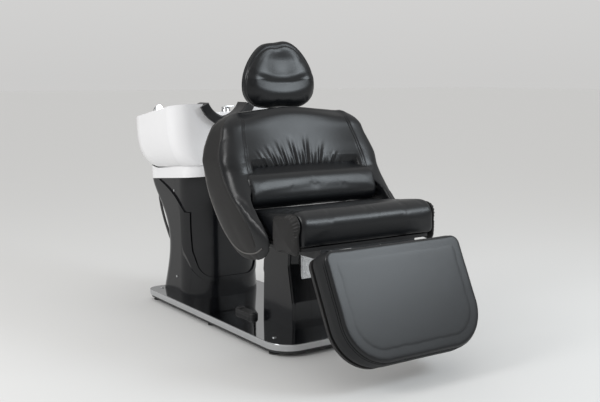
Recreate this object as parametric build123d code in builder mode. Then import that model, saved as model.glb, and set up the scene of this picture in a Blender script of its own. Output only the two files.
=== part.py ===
"""Hair washing bed: an electric reclining chair and a ceramic basin on one steel floor plate.

Millimetres. +Z is up, the sitter faces -Y, the basin stands at +Y and the sitter's right is -X.
The origin is on the floor under the middle of the whole bed.
"""

from build123d import *
import math
import os

os.makedirs("parts", exist_ok=True)

# Floor plate: polished cover, welded frame under it, levelling feet
plate_half_width = 250.0
plate_front = -410.0
plate_rear = 722.0
plate_top = 50.0
plate_skirt = 25.0
plate_sheet = 1.5
plate_front_corner = 95.0
plate_rear_corner = 50.0
plate_edge_round = 2.5
frame_inset = 8.0
frame_tube = 40.0
frame_bottom = 14.0
foot_radius = 21.0
foot_pad_height = 6.0
foot_pad_taper = 12.0
foot_nut_radius = 9.0
foot_inset = 36.0
cap_radius = 8.0
cap_height = 3.0
cap_inset = 52.0

# Basin pedestal: two moulded half shells round a steel post
pedestal_half_width = 186.0
pedestal_front = 372.0
pedestal_rear = 722.0
pedestal_corner = 78.0
pedestal_front_corner = 130.0
pedestal_wall = 5.0
seam_height = 565.0
seam_middle = 588.0
seam_tilt = 5.5
shell_gap = 0.5
rib_stand = 7.0
rib_width = 20.0
post_half = 45.0
post_wall = 4.0
post_plate = 8.0
post_flange_half = 75.0
control_box_half = 75.0
control_box_length = 70.0
control_box_height = 130.0
screw_radius = 5.0
screw_height = 2.5

# Basin: glazed ceramic with a rear deck, a neck notch and a padded neck rest
basin_half_width = 250.0
basin_front = 404.0
basin_rear = 910.0
basin_wall = 12.0
basin_rear_corner = 150.0
basin_front_corner = 75.0
rim_height = 853.0
rim_middle = 657.0
rim_tilt = 9.5
skirt_height = 42.0
bowl_half_width = 203.0
bowl_front = 449.0
bowl_rear = 702.0
bowl_depth = 190.0
bowl_front_wall = 38.0
notch_radius = 122.0
notch_rise = 46.0
neck_pad_thickness = 20.0
neck_flap = 22.0
neck_flap_thickness = 12.0
neck_pad_front = 384.0
neck_pad_rear = 470.0
neck_half_angle = 66.0
drain_radius = 30.0
drain_flange = 6.0
waste_radius = 21.0
waste_wall = 2.5
fixture_spread = 182.0
fixture_line = 728.0
mixer_radius = 22.0
mixer_height = 16.0
mixer_dome_height = 15.0
lever_length = 46.0
lever_thickness = 7.0
handset_radius = 12.0
handset_height = 34.0
handset_reach = 34.0
socket_radius = 19.0
socket_height = 7.0
socket_depth = 60.0

# Shower hose, from under the basin's deck into the pedestal's rear
hose_radius = 6.0
hose_x = -110.0
gland_radius = 11.0
gland_length = 26.0
hose_top_y = 864.0
hose_top_rise = 39.0
hose_end_y = 704.0
hose_end_z = 213.0

# Chair column: two shroud halves round a steel post
column_half_width = 85.0
column_front = -250.0
column_rear = -21.0
column_top = 394.0
column_wall = 4.0
column_panel_step = 3.0
column_corner = 90.0
column_post_gap = 1.0
column_post_half = 32.0
column_post_front = -225.0

# Foot switch beside the column
switch_x = -112.0
switch_middle = 55.0
switch_length = 140.0
switch_half_width = 21.0
switch_height = 17.0
switch_pad_radius = 19.0
switch_pad_height = 5.0
switch_travel = 3.0
switch_pad_seat = 1.0
switch_edge = 2.0

# Seat
seat_half_width = 293.0
seat_front = -616.0
seat_rear = -246.0
seat_top = 566.0
seat_bottom = 431.0
seat_board_height = 12.0
seat_panel = 8.0
seat_panel_inset = 7.0
seat_panel_length = 166.0
seat_panel_drop = 18.0
seat_end = 16.0
seat_board_inset = 4.0
seat_frame_plate = 6.0
seat_frame_front = -600.0
seat_frame_half_width = 217.0
rail_width = 38.0
rail_depth = 30.0
head_block_half = 95.0

# Recline drive
drive_x = 128.0
drive_front = -560.0
drive_rear = -330.0
drive_tube_radius = 20.0
drive_rod_radius = 8.0
drive_motor_radius = 18.0
drive_motor_length = 110.0
drive_stroke_room = 45.0
crank_drop = 62.0
crank_swing = 16.0
crank_plate = 8.0
crank_half = 12.0
crank_pin_radius = 5.0
crank_slot_gap = 0.3
fork_plate = 6.0
fork_reach = 24.0
fork_end = 9.0

# Backrest
back_pivot_y = -212.0
back_pivot_z = 442.0
back_pin_radius = 8.0
back_half_width = 352.0
back_top = 890.0
back_round = 40.0
back_bottom = 357.0
back_front = -442.0
back_shoulder = 700.0
back_shoulder_radius = 170.0
wing_panel = 8.0
wing_inner_low = 306.0
wing_step_low = 575.0
wing_step_high = 652.0
pad_half_width = 238.0
pad_front = -190.0
pad_rear = -68.0
pad_bottom = 640.0
pad_edge = 24.0
pleat_count = 13
pleat_left = -155.0
pleat_right = 125.0
pleat_length = 124.0
pleat_depth = 5.5
pleat_start = 7.0
pleat_lean_low = -16.0
pleat_lean_high = 10.0
lumbar_front = -294.0
lumbar_rear = -119.0
lumbar_bottom = 532.0
lumbar_top = 656.6
back_board = 14.0
board_gap = 1.2
back_shell = 12.0
arm_plate = 8.0
torque_radius = 14.0

# Headrest
head_half_width = 163.0
head_top = 1147.0
head_bottom = 888.0
head_front = -54.0
head_rear = 4.0
head_plate = 4.0
head_pivot_y = 34.0
head_pivot_z = 948.0
head_pin_radius = 5.0
head_knuckle = 9.0
head_ear = 6.0
bar_half_width = 20.0
bar_thickness = 8.0
bar_bottom = 655.0
guide_bottom = 675.0
guide_top = 765.0
guide_half_width = 34.0
guide_wall = 8.0
head_plate_half = 62.0
head_dish = 9.0
head_dish_radius = 260.0

# Legrest
leg_half_width = 302.0
leg_length = 402.0
leg_thickness = 98.0
leg_lean = 26.5
leg_top_y = -640.0
leg_top_z = 420.0
leg_board = 12.0
leg_pivot_y = -626.0
leg_pivot_z = 416.0
leg_pin_radius = 6.0
leg_knuckle = 12.0
leg_top_corner = 40.0
leg_bottom_corner = 155.0
leg_board_inset = 6.0
leg_edge = 12.0
leg_arm_length = 160.0
leg_arm_depth = 14.0
leg_ear_x = 176.0
leg_plate = 8.0

# Running clearances, seats and cutters
pin_clearance = 0.05
side_clearance = 0.5
rest_gap = 0.3
overrun = 20.0


def boxed(shares, low, high):
    """Outline points written as shares of the box from one corner to the other."""
    wide = high[0] - low[0]
    tall = high[1] - low[1]
    return [(low[0] + a * wide, low[1] + b * tall) for a, b in shares]


def save(piece, label):
    piece.part.label = label
    export_step(piece.part, "parts/" + label + ".step")


def rim_z(y):
    return rim_height - math.tan(math.radians(rim_tilt)) * (y - rim_middle)


def seam_z(y):
    return seam_height - math.tan(math.radians(seam_tilt)) * (y - seam_middle)


def tilted(y, z, degrees):
    """A level plane whose front edge is raised by an angle; its own Y stays close to +Y."""
    t = math.radians(degrees)
    return Plane(origin=(0, y, z), x_dir=(1, 0, 0), z_dir=(0, math.sin(t), math.cos(t)))


def filleted(points, radii):
    """A flat face inside a closed outline whose corners are rounded, one radius each."""
    with BuildSketch() as face:
        with BuildLine():
            FilletPolyline(*points, radius=radii, close=True)
        make_face()
    return face.sketch


def rounded_outline(half_width, front, rear, front_corner, rear_corner):
    """A rectangle from front to rear with its own front and rear corner radii."""
    corners = ((-half_width, front), (half_width, front), (half_width, rear), (-half_width, rear))
    return filleted(corners, (front_corner, front_corner, rear_corner, rear_corner))


def smooth(points, close_line=()):
    """A flat face inside a smooth curve through points, closed by straight runs where they are given."""
    with BuildSketch() as face:
        with BuildLine():
            Spline(*points, periodic=not close_line)
            if close_line:
                Polyline(points[-1], *close_line, points[0])
        make_face()
    return face.sketch


# Route of the shower hose's free stretch: shares of its way forward and down, from the upper gland
hose_top_z = seam_height + hose_top_rise
hose_shares = (
    (0.0, 0.0),
    (-0.025, 0.1483),
    (-0.00625, 0.3120),
    (0.09375, 0.4783),
    (0.28125, 0.6292),
    (0.525, 0.7724),
    (0.7875, 0.9054),
    (1.0, 1.0),
)
hose_line = boxed(hose_shares, (hose_top_y, hose_top_z), (hose_end_y, hose_end_z))
hose_route = [(hose_x, y, z) for y, z in hose_line]
hose_start = Vector(*hose_route[0])
hose_start_plane = Plane(origin=hose_start, z_dir=hose_start - Vector(*hose_route[1]))
hose_end = Vector(*hose_route[-1])
hose_end_way = (hose_end - Vector(*hose_route[-2])).normalized()
hose_end_plane = Plane(origin=hose_end, z_dir=hose_end_way)

# Floor plate
with BuildPart() as base_cover:
    with BuildSketch(Plane.XY.offset(plate_top - plate_skirt)):
        corners = (plate_front_corner, plate_rear_corner)
        add(rounded_outline(plate_half_width, plate_front, plate_rear, *corners))
    extrude(amount=plate_skirt)
    fillet(base_cover.edges().group_by(Axis.Z)[-1], plate_edge_round)
    with BuildSketch(Plane.XY.offset(plate_top - plate_skirt)):
        add(
            rounded_outline(
                plate_half_width - plate_sheet,
                plate_front + plate_sheet,
                plate_rear - plate_sheet,
                plate_front_corner - plate_sheet,
                plate_rear_corner - plate_sheet,
            )
        )
    extrude(amount=plate_skirt - plate_sheet, mode=Mode.SUBTRACT)
save(base_cover, "base_cover")

frame_half = plate_half_width - frame_inset
frame_front = plate_front + frame_inset
frame_rear = plate_rear - frame_inset
frame_height = plate_top - plate_sheet - frame_bottom
bay_count = 4
bay_pitch = (frame_rear - frame_front - frame_tube) / bay_count
with BuildPart() as base_frame:
    with BuildSketch(Plane.XY.offset(frame_bottom)):
        add(
            rounded_outline(
                frame_half,
                frame_front,
                frame_rear,
                plate_front_corner - frame_inset,
                plate_rear_corner - frame_inset,
            )
        )
        with Locations((0, (frame_front + frame_rear) / 2)):
            with GridLocations(0, bay_pitch, 1, bay_count):
                RectangleRounded(
                    2 * (frame_half - frame_tube), bay_pitch - frame_tube, frame_tube / 2, mode=Mode.SUBTRACT
                )
    extrude(amount=frame_height)
save(base_frame, "base_frame")

foot_lines = (
    plate_front + plate_front_corner,
    (plate_front + plate_rear) / 2,
    plate_rear - plate_rear_corner,
)
foot_places = [
    (side * (plate_half_width - foot_inset), y)
    for side in (-1, 1)
    for y in foot_lines
]
with BuildPart() as levelling_feet:
    with BuildSketch():
        with Locations(*foot_places):
            Circle(foot_radius)
    extrude(amount=foot_pad_height, taper=foot_pad_taper)
    with BuildSketch(Plane.XY.offset(foot_pad_height)):
        with Locations(*foot_places):
            RegularPolygon(foot_nut_radius, 6)
    extrude(amount=frame_bottom - foot_pad_height)
save(levelling_feet, "levelling_feet")

cap_places = [
    (side * (plate_half_width - cap_inset), y)
    for side in (-1, 1)
    for y in (plate_front + plate_front_corner + cap_inset / 2, plate_rear - cap_inset)
]
with BuildPart() as cover_caps:
    with BuildSketch(Plane.XY.offset(plate_top)):
        with Locations(*cap_places):
            Circle(cap_radius)
    extrude(amount=cap_height)
    fillet(cover_caps.edges().group_by(Axis.Z)[-1], cap_height * 0.6)
save(cover_caps, "cover_caps")

# Basin pedestal
pedestal_height = seam_height - plate_top
pedestal_length = pedestal_rear - pedestal_front
pedestal_step_shares = (0.0, 0.30, 0.56, 0.71, 0.85, 1.10)
pedestal_width_shares = (1.0, 0.965, 0.965, 0.985, 1.01, 1.035)
pedestal_rear_shares = (0.0, -0.115, -0.105, 0.0, 0.165, 0.225)
pedestal_front_shares = (0.0, 0.02, 0.02, 0.005, -0.02, -0.035)
pedestal_sections = [
    (
        plate_top + up * pedestal_height,
        wide * pedestal_half_width,
        pedestal_front + front * pedestal_length,
        pedestal_rear + back * pedestal_length,
    )
    for up, wide, front, back in zip(
        pedestal_step_shares, pedestal_width_shares, pedestal_front_shares, pedestal_rear_shares
    )
]


def pedestal_form(grow):
    """The pedestal's closed form, grown by an amount and cut at the basin's seam."""
    ahead = pedestal_front_corner + grow
    behind = pedestal_corner + grow
    with BuildPart(mode=Mode.PRIVATE) as form:
        for z, half, front, rear in pedestal_sections:
            with BuildSketch(Plane.XY.offset(z)):
                add(rounded_outline(half + grow, front - grow, rear + grow, ahead, behind))
        loft()
        split(bisect_by=tilted(seam_middle, seam_height, seam_tilt), keep=Keep.BOTTOM)
    return form.part


pedestal_outer = pedestal_form(0.0)
pedestal_inner = pedestal_form(-pedestal_wall)
shell_split_shares = ((0.22, 0.0), (0.22, 0.30), (0.29, 0.50), (0.38, 0.76), (0.53, 1.0))
shell_split = boxed(
    shell_split_shares,
    (pedestal_front, plate_top),
    (pedestal_rear, seam_z(pedestal_front) + overrun),
)


def front_of_split(shift):
    """A wide solid in front of the seam between the two half shells."""
    line = [(y + shift, z) for y, z in shell_split]
    with BuildPart(mode=Mode.PRIVATE) as front:
        with BuildSketch(Plane.YZ):
            ahead = pedestal_front - pedestal_length
            add(smooth(line, ((ahead, line[-1][1]), (ahead, line[0][1]))))
        extrude(amount=pedestal_half_width + overrun * 2, both=True)
    return front.part


with BuildPart() as pedestal_front_shell:
    add(pedestal_outer)
    add(pedestal_inner, mode=Mode.SUBTRACT)
    add(front_of_split(-shell_gap), mode=Mode.INTERSECT)
save(pedestal_front_shell, "pedestal_front_shell")

with BuildPart() as pedestal_rear_shell:
    add(pedestal_outer)
    add(pedestal_inner, mode=Mode.SUBTRACT)
    add(front_of_split(0.0), mode=Mode.SUBTRACT)
    with BuildSketch(hose_end_plane):
        Circle(gland_radius)
    extrude(amount=gland_length * 2, mode=Mode.SUBTRACT)
save(pedestal_rear_shell, "pedestal_rear_shell")

# The raised rib runs from the rear top edge down each side, then in a U across the foot of the front
rib_side_shares = ((0.90, 0.92), (0.60, 0.85), (0.38, 0.765), (0.25, 0.67))
rib_front_shares = ((0.972, 0.70), (0.925, 0.38), (0.77, 0.15), (0.0, 0.135))
rib_side = boxed(rib_side_shares, (pedestal_front, plate_top), (pedestal_rear, seam_z(pedestal_front)))
rib_half = boxed(rib_front_shares, (0.0, plate_top), (pedestal_half_width, seam_z(pedestal_front)))
rib_front = rib_half[:-1] + [(-x, z) for x, z in reversed(rib_half[:-1])]
rib_bends = (pedestal_corner * 1.5, pedestal_corner, pedestal_corner, pedestal_corner * 1.5)
with BuildPart() as pedestal_rib:
    with BuildSketch(Plane.YZ):
        with BuildLine():
            Spline(*rib_side)
        trace(line_width=rib_width)
    extrude(amount=pedestal_half_width + overrun, both=True)
    with BuildSketch(Plane.XZ.offset(-pedestal_front - pedestal_front_corner * 0.9)):
        with BuildLine():
            FilletPolyline(*rib_front, radius=rib_bends)
        trace(line_width=rib_width)
    extrude(amount=2 * pedestal_front_corner)
    add(pedestal_form(rib_stand), mode=Mode.INTERSECT)
    add(pedestal_outer, mode=Mode.SUBTRACT)
save(pedestal_rib, "pedestal_rib")

# Steel post and control box inside the pedestal
post_middle = (bowl_front + bowl_rear) / 2
post_top = seam_z(post_middle) - post_plate
post_bore = post_half - post_wall
with BuildPart() as pedestal_post:
    with BuildSketch(Plane.XY.offset(plate_top)):
        with Locations((0, post_middle)):
            Rectangle(2 * post_flange_half, 2 * post_flange_half)
    extrude(amount=post_plate)
    with BuildSketch(Plane.XY.offset(plate_top + post_plate)):
        with Locations((0, post_middle)):
            RectangleRounded(2 * post_half, 2 * post_half, post_wall * 2)
            RectangleRounded(2 * post_bore, 2 * post_bore, post_wall, mode=Mode.SUBTRACT)
    extrude(amount=post_top - plate_top - post_plate * 2)
    with BuildSketch(Plane.XY.offset(post_top - post_plate)):
        with Locations((0, post_middle)):
            Rectangle(2 * post_flange_half, 2 * post_flange_half)
            Circle(waste_radius * 1.4, mode=Mode.SUBTRACT)
    extrude(amount=post_plate)
save(pedestal_post, "pedestal_post")

with BuildPart() as control_box:
    with BuildSketch(Plane.XY.offset(plate_top)):
        with Locations((0, pedestal_front + 2 * pedestal_wall + control_box_length)):
            RectangleRounded(2 * control_box_half, control_box_length, post_wall)
    extrude(amount=control_box_height)
    fillet(control_box.edges().group_by(Axis.Z)[-1], post_wall)
save(control_box, "control_box")

screw_places = [(side, share_up) for side in (-1, 1) for share_up in (0.15, 0.90)]
with BuildPart() as pedestal_screws:
    for side, share_up in screw_places:
        z = plate_top + share_up * pedestal_height
        y = pedestal_front + 0.48 * pedestal_length
        with Locations(Location((side * pedestal_half_width * 0.90, y, z), (0, 90, 0))):
            Cylinder(screw_radius, 4 * overrun)
    add(pedestal_form(screw_height), mode=Mode.INTERSECT)
    add(pedestal_outer, mode=Mode.SUBTRACT)
save(pedestal_screws, "pedestal_screws")

# Basin
basin_length = basin_rear - basin_front
basin_step_shares = (0.0, 0.17, 0.42, 1.0)
basin_width_shares = (0.775, 0.905, 0.97, 1.0)
basin_front_shares = (-0.055, -0.035, -0.012, 0.0)
basin_rear_shares = (-0.195, -0.095, -0.03, 0.0)
basin_tilt_shares = (0.60, 0.75, 0.88, 1.0)
skirt_top = seam_height + skirt_height
basin_sections = [
    (
        skirt_top + up * (rim_height - skirt_top),
        wide * basin_half_width,
        basin_front + front * basin_length,
        basin_rear + back * basin_length,
        tilt * rim_tilt,
    )
    for up, wide, front, back, tilt in zip(
        basin_step_shares, basin_width_shares, basin_front_shares, basin_rear_shares, basin_tilt_shares
    )
]


def basin_form(inset, sink):
    """The bowl's closed outer form, drawn in by an amount and lowered by another at the rim."""
    with BuildPart(mode=Mode.PRIVATE) as form:
        for z, half, front, rear, tilt in basin_sections:
            plane = tilted(rim_middle, z - sink, tilt)
            with BuildSketch(plane):
                add(
                    rounded_outline(
                        half - inset,
                        front + inset - rim_middle,
                        rear - inset - rim_middle,
                        basin_front_corner - inset,
                        basin_rear_corner - inset,
                    )
                )
        loft()
    return form.part


def skirt_form(inset, extra):
    """The skirt under the bowl, which stands on the pedestal's top."""
    half = basin_width_shares[0] * basin_half_width - inset
    front = basin_front + basin_front_shares[0] * basin_length + inset - seam_middle
    rear = basin_rear + basin_rear_shares[0] * basin_length - inset - seam_middle
    with BuildPart(mode=Mode.PRIVATE) as form:
        with BuildSketch(tilted(seam_middle, seam_height - extra, seam_tilt)):
            add(rounded_outline(half, front, rear, pedestal_corner - inset, pedestal_corner - inset))
        extrude(amount=skirt_height + extra + basin_wall * 2)
    return form.part


bowl_step_shares = (0.0, 0.16, 0.55, 1.0)
bowl_size_shares = (0.52, 0.80, 0.95, 1.0)
bowl_middle = (bowl_front + bowl_rear) / 2
bowl_half_length = (bowl_rear - bowl_front) / 2


def bowl_form(grow, front_grow, lift):
    """The bowl's hollow, grown by an amount all round and by another at its front."""
    with BuildPart(mode=Mode.PRIVATE) as form:
        for up, wide in zip(bowl_step_shares, bowl_size_shares):
            z = rim_z(bowl_middle) - bowl_depth - grow + up * (bowl_depth + grow) + up * lift
            plane = tilted(bowl_middle, z, rim_tilt * up)
            half = bowl_half_width * wide + grow
            ahead = bowl_half_length * wide + grow + front_grow
            behind = bowl_half_length * wide + grow
            corner = bowl_half_length * wide * 0.72 + grow
            with BuildSketch(plane):
                add(rounded_outline(half, -ahead, behind, corner * 0.8, corner))
        loft()
    return form.part


notch_z = rim_z(basin_front) + notch_rise
drain_y = bowl_middle
bowl_floor = rim_z(bowl_middle) - bowl_depth
deck_plane = tilted(fixture_line, rim_z(fixture_line), rim_tilt)
deck_place = deck_plane.location
deck_axis = Axis(deck_plane.origin, deck_plane.z_dir)
with BuildPart() as bowl_wall:
    add(bowl_form(basin_wall, bowl_front_wall - basin_wall, 0.0))
    add(basin_form(0.0, 0.0), mode=Mode.INTERSECT)

deck_under = tilted(rim_middle, rim_height - basin_wall, rim_tilt)
with BuildPart() as neck_cut:
    with Locations(Location((0, basin_front, notch_z), (90, 0, 0))):
        Cylinder(notch_radius, 2 * (bowl_front - basin_front + overrun))

with BuildPart() as basin:
    add(basin_form(0.0, 0.0))
    split(bisect_by=deck_under, keep=Keep.TOP)
    add(bowl_wall.part)
    add(bowl_form(0.0, 0.0, basin_wall), mode=Mode.SUBTRACT)
    add(neck_cut.part, mode=Mode.SUBTRACT)
    with Locations((0, drain_y, bowl_floor)):
        Cylinder(waste_radius + rest_gap, 4 * basin_wall, mode=Mode.SUBTRACT)
    with Locations(*[deck_place * Location((side * fixture_spread, 0, 0)) for side in (-1, 1)]):
        Cylinder(handset_radius + basin_wall / 4, 6 * basin_wall, mode=Mode.SUBTRACT)
save(basin, "basin")

# White apron under the deck: the outer wall round the bowl and the collar that stands on the pedestal
with BuildPart() as basin_apron:
    add(basin_form(0.0, 0.0))
    split(bisect_by=deck_under, keep=Keep.BOTTOM)
    add(skirt_form(0.0, 0.0))
    add(basin_form(basin_wall, basin_wall), mode=Mode.SUBTRACT)
    add(skirt_form(basin_wall, overrun), mode=Mode.SUBTRACT)
    add(bowl_wall.part, mode=Mode.SUBTRACT)
    add(neck_cut.part, mode=Mode.SUBTRACT)
save(basin_apron, "basin_apron")

# Neck rest: a moulded saddle over the notch's edge, with a flap on each side of the ceramic
neck_outer = notch_radius - rest_gap
neck_inner = neck_outer - neck_pad_thickness
with BuildPart() as neck_rest:
    for start, end, radius in (
        (neck_pad_front, neck_pad_rear, neck_outer),
        (neck_pad_front, neck_pad_front + neck_flap_thickness, neck_outer + neck_flap),
        (neck_pad_rear - neck_flap_thickness, neck_pad_rear, neck_outer + neck_flap),
    ):
        with BuildSketch(Plane.XZ.offset(-end)):
            with Locations((0, notch_z)):
                Circle(radius)
                Circle(neck_inner, mode=Mode.SUBTRACT)
                with BuildLine():
                    reach = 2 * notch_radius
                    wide = reach * math.sin(math.radians(neck_half_angle))
                    low = notch_z - reach * math.cos(math.radians(neck_half_angle))
                    Polyline(
                        (0, notch_z),
                        (-wide, low),
                        (-wide, low - reach),
                        (wide, low - reach),
                        (wide, low),
                        close=True,
                    )
                make_face(mode=Mode.INTERSECT)
        extrude(amount=end - start)
    fillet(neck_rest.edges().filter_by(GeomType.CIRCLE).sort_by(SortBy.RADIUS)[:2], neck_pad_thickness * 0.4)
save(neck_rest, "neck_rest")

# Drain: a strainer in the bowl's floor and the waste pipe below it
with BuildPart() as waste_pipe:
    with BuildSketch(Plane.XY.offset(plate_top + post_plate + overrun)):
        with Locations((0, drain_y)):
            Circle(waste_radius)
            Circle(waste_radius - waste_wall, mode=Mode.SUBTRACT)
    extrude(amount=bowl_floor - plate_top - post_plate - overrun)
save(waste_pipe, "waste_pipe")

strainer_slots = 8
with BuildPart() as drain_strainer:
    with BuildSketch(Plane.XY.offset(bowl_floor)):
        with Locations((0, drain_y)):
            Circle(drain_radius)
            with PolarLocations(drain_radius * 0.42, strainer_slots):
                SlotCenterToCenter(drain_radius * 0.3, drain_radius * 0.12, mode=Mode.SUBTRACT)
    extrude(amount=drain_flange / 2)
    with BuildSketch(Plane.XY.offset(bowl_floor + drain_flange / 2)):
        with Locations((0, drain_y)):
            Circle(drain_radius * 0.22)
    extrude(amount=drain_flange, taper=8)
    fillet(drain_strainer.edges().group_by(Axis.Z)[-1], drain_flange / 4)
save(drain_strainer, "drain_strainer")

# Mixer on the deck, sitter's left of the bowl: body, turning dome and lifting lever
with BuildPart() as mixer_body:
    with BuildSketch(deck_plane):
        with Locations((fixture_spread, 0)):
            Circle(mixer_radius * 1.14)
    extrude(amount=mixer_height / 5)
    with BuildSketch(deck_plane.offset(mixer_height / 5)):
        with Locations((fixture_spread, 0)):
            Circle(mixer_radius)
    extrude(amount=mixer_height * 0.8, taper=5)
    with BuildSketch(deck_plane):
        with Locations((fixture_spread, 0)):
            Circle(handset_radius)
    extrude(amount=-socket_depth)
save(mixer_body, "mixer_body")

dome_radius = mixer_radius * 0.9
dome_base = mixer_height + rest_gap
with BuildPart() as mixer_dome:
    with BuildSketch(deck_plane.offset(dome_base)):
        with Locations((fixture_spread, 0)):
            Circle(dome_radius)
    extrude(amount=mixer_dome_height)
    fillet(mixer_dome.edges().group_by(deck_axis)[-1], mixer_dome_height * 0.6)
    with BuildSketch(deck_plane.offset(dome_base - rest_gap / 2)):
        with Locations((fixture_spread, -dome_radius)):
            Rectangle(lever_thickness + 2 * side_clearance, 1.3 * dome_radius)
    extrude(amount=mixer_dome_height + rest_gap, mode=Mode.SUBTRACT)
save(mixer_dome, "mixer_dome")

lever_pivot_y = -dome_radius * 0.62
lever_stem = lever_length * 0.62
lever_rise = dome_base + mixer_dome_height * 0.62
with BuildPart() as mixer_lever:
    stem_place = Location((fixture_spread, lever_pivot_y - lever_stem / 2, lever_rise), (90, 0, 0))
    with Locations(deck_place * stem_place):
        Cylinder(lever_thickness / 2, lever_stem)
    blade_place = Location((fixture_spread, lever_pivot_y - lever_stem, lever_rise), (0, 90, 0))
    with Locations(deck_place * blade_place):
        Cylinder(lever_thickness * 0.6, lever_length)
    fillet(mixer_lever.edges().group_by(Axis.X)[-1], lever_thickness * 0.4)
    fillet(mixer_lever.edges().group_by(Axis.X)[0], lever_thickness * 0.4)
save(mixer_lever, "mixer_lever")

# Handset in its socket, sitter's right of the bowl
with BuildPart() as handset_socket:
    with BuildSketch(deck_plane):
        with Locations((-fixture_spread, 0)):
            Circle(socket_radius)
            Circle(handset_radius + rest_gap, mode=Mode.SUBTRACT)
    extrude(amount=socket_height, taper=6)
    with BuildSketch(deck_plane):
        with Locations((-fixture_spread, 0)):
            Circle(handset_radius + basin_wall / 5)
            Circle(handset_radius + rest_gap, mode=Mode.SUBTRACT)
    extrude(amount=-socket_depth)
save(handset_socket, "handset_socket")

handset_top = handset_height - handset_radius
handset_points = [
    deck_plane.from_local_coords(Vector(-fixture_spread, y, z))
    for y, z in ((0, -socket_depth * 0.8), (0, handset_top), (-handset_reach, handset_top))
]
with BuildPart() as handset:
    with BuildLine():
        handset_path = FilletPolyline(*handset_points, radius=handset_radius * 1.4)
    with BuildSketch(Plane(origin=handset_path @ 0, z_dir=handset_path % 0)):
        Circle(handset_radius)
    sweep(path=handset_path)
    with BuildSketch(Plane(origin=handset_path @ 1, z_dir=handset_path % 1)):
        Circle(handset_radius * 1.25)
    extrude(amount=handset_radius * 0.8)
save(handset, "handset")

# Shower hose: leaves the basin's underside, hangs behind the pedestal and goes in at its rear
with BuildPart() as hose_gland_upper:
    with BuildSketch(hose_start_plane):
        Circle(gland_radius)
    extrude(amount=2 * gland_length)
    add(basin_form(basin_wall, basin_wall), mode=Mode.SUBTRACT)
    add(bowl_wall.part, mode=Mode.SUBTRACT)
    add(basin_apron.part, mode=Mode.SUBTRACT)
save(hose_gland_upper, "hose_gland_upper")

with BuildPart() as hose_gland_lower:
    with BuildSketch(hose_end_plane):
        Circle(gland_radius - rest_gap)
    extrude(amount=gland_length * 1.6)
save(hose_gland_lower, "hose_gland_lower")

hose_bend_share = 0.45


def route_radii(route):
    """For each corner of a route, the radius that its two runs leave room for."""
    radii = []
    for before, here, after in zip(route, route[1:], route[2:]):
        first = Vector(here) - Vector(before)
        second = Vector(after) - Vector(here)
        half_turn = math.radians(first.get_angle(second)) / 2
        radii.append(hose_bend_share * min(first.length, second.length) / math.tan(half_turn))
    return radii


hose_radii = route_radii(hose_route)
print("hose radii", [round(r) for r in hose_radii])
with BuildPart() as shower_hose:
    with BuildLine():
        hose_path = FilletPolyline(*hose_route, radius=hose_radii)
    with BuildSketch(Plane(origin=hose_path @ 0, z_dir=hose_path % 0)):
        Circle(hose_radius)
    sweep(path=hose_path)
hose_volume = math.pi * hose_radius**2 * hose_path.length
print("hose length", round(hose_path.length))
print("hose volume share", round(shower_hose.part.volume / hose_volume, 4))
save(shower_hose, "shower_hose")

# Chair column
column_shares = (
    (0.0, 0.0),
    (0.025, 0.30),
    (0.16, 0.72),
    (0.13, 1.0),
    (0.58, 1.0),
    (0.80, 0.85),
    (0.97, 0.70),
    (1.0, 0.0),
)
column_radii_shares = (0.0, 0.6, 0.4, 0.1, 0.1, 0.25, 0.35, 0.0)
column_low = (column_front, plate_top)
column_high = (column_rear, column_top)
column_outline = boxed(column_shares, column_low, column_high)
column_radii = [r * column_corner for r in column_radii_shares]
column_panel_shares = (
    (0.03, 0.0),
    (0.05, 0.29),
    (0.18, 0.70),
    (0.15, 0.98),
    (0.57, 0.98),
    (0.78, 0.83),
    (0.93, 0.70),
    (0.95, 0.56),
    (0.32, 0.20),
    (0.25, 0.0),
)
column_panel_radii_shares = (0.0, 0.6, 0.4, 0.08, 0.08, 0.25, 0.12, 0.25, 0.5, 0.0)
column_panel_radii = [r * column_corner for r in column_panel_radii_shares]


def column_form(inset, half_width):
    """The shroud's closed form in side view, carried across to a half width."""
    with BuildPart(mode=Mode.PRIVATE) as form:
        with BuildSketch(Plane.YZ):
            add(filleted(column_outline, column_radii))
            if inset:
                offset(amount=-inset)
        extrude(amount=half_width, both=True)
    return form.part


with BuildPart() as column_body:
    add(column_form(0.0, column_half_width - column_panel_step))
    ends = column_body.faces().group_by(Axis.X)
    rims = ends[0].edges() + ends[-1].edges()
    fillet([edge for edge in rims if edge.center().Z > plate_top + column_wall], column_wall * 2.5)
    with BuildSketch(Plane.YZ):
        add(filleted(boxed(column_panel_shares, column_low, column_high), column_panel_radii))
    extrude(amount=column_half_width, both=True)
    add(column_form(column_wall, column_half_width - column_panel_step - column_wall), mode=Mode.SUBTRACT)
    with Locations((0, column_post_front + column_post_half, plate_top + column_top / 2)):
        Box(
            2 * (column_post_half + column_post_gap),
            2 * (column_post_half + column_post_gap),
            2 * column_top,
            mode=Mode.SUBTRACT,
        )

for side, name in ((-1, "column_right_shell"), (1, "column_left_shell")):
    with BuildPart() as column_shell:
        add(column_body.part)
        split(bisect_by=Plane.YZ.offset(side * shell_gap / 2), keep=Keep.TOP if side > 0 else Keep.BOTTOM)
    save(column_shell, name)

column_post_middle = column_post_front + column_post_half
frame_top = seat_bottom - rest_gap
rail_bottom = frame_top - seat_frame_plate - rail_depth
column_bore = column_post_half - post_wall
with BuildPart() as column_post:
    with BuildSketch(Plane.XY.offset(plate_top)):
        with Locations((0, column_post_middle)):
            RectangleRounded(2 * column_post_half, 2 * column_post_half, post_wall)
            RectangleRounded(2 * column_bore, 2 * column_bore, post_wall / 2, mode=Mode.SUBTRACT)
    extrude(amount=rail_bottom - plate_top)
save(column_post, "column_post")

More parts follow.
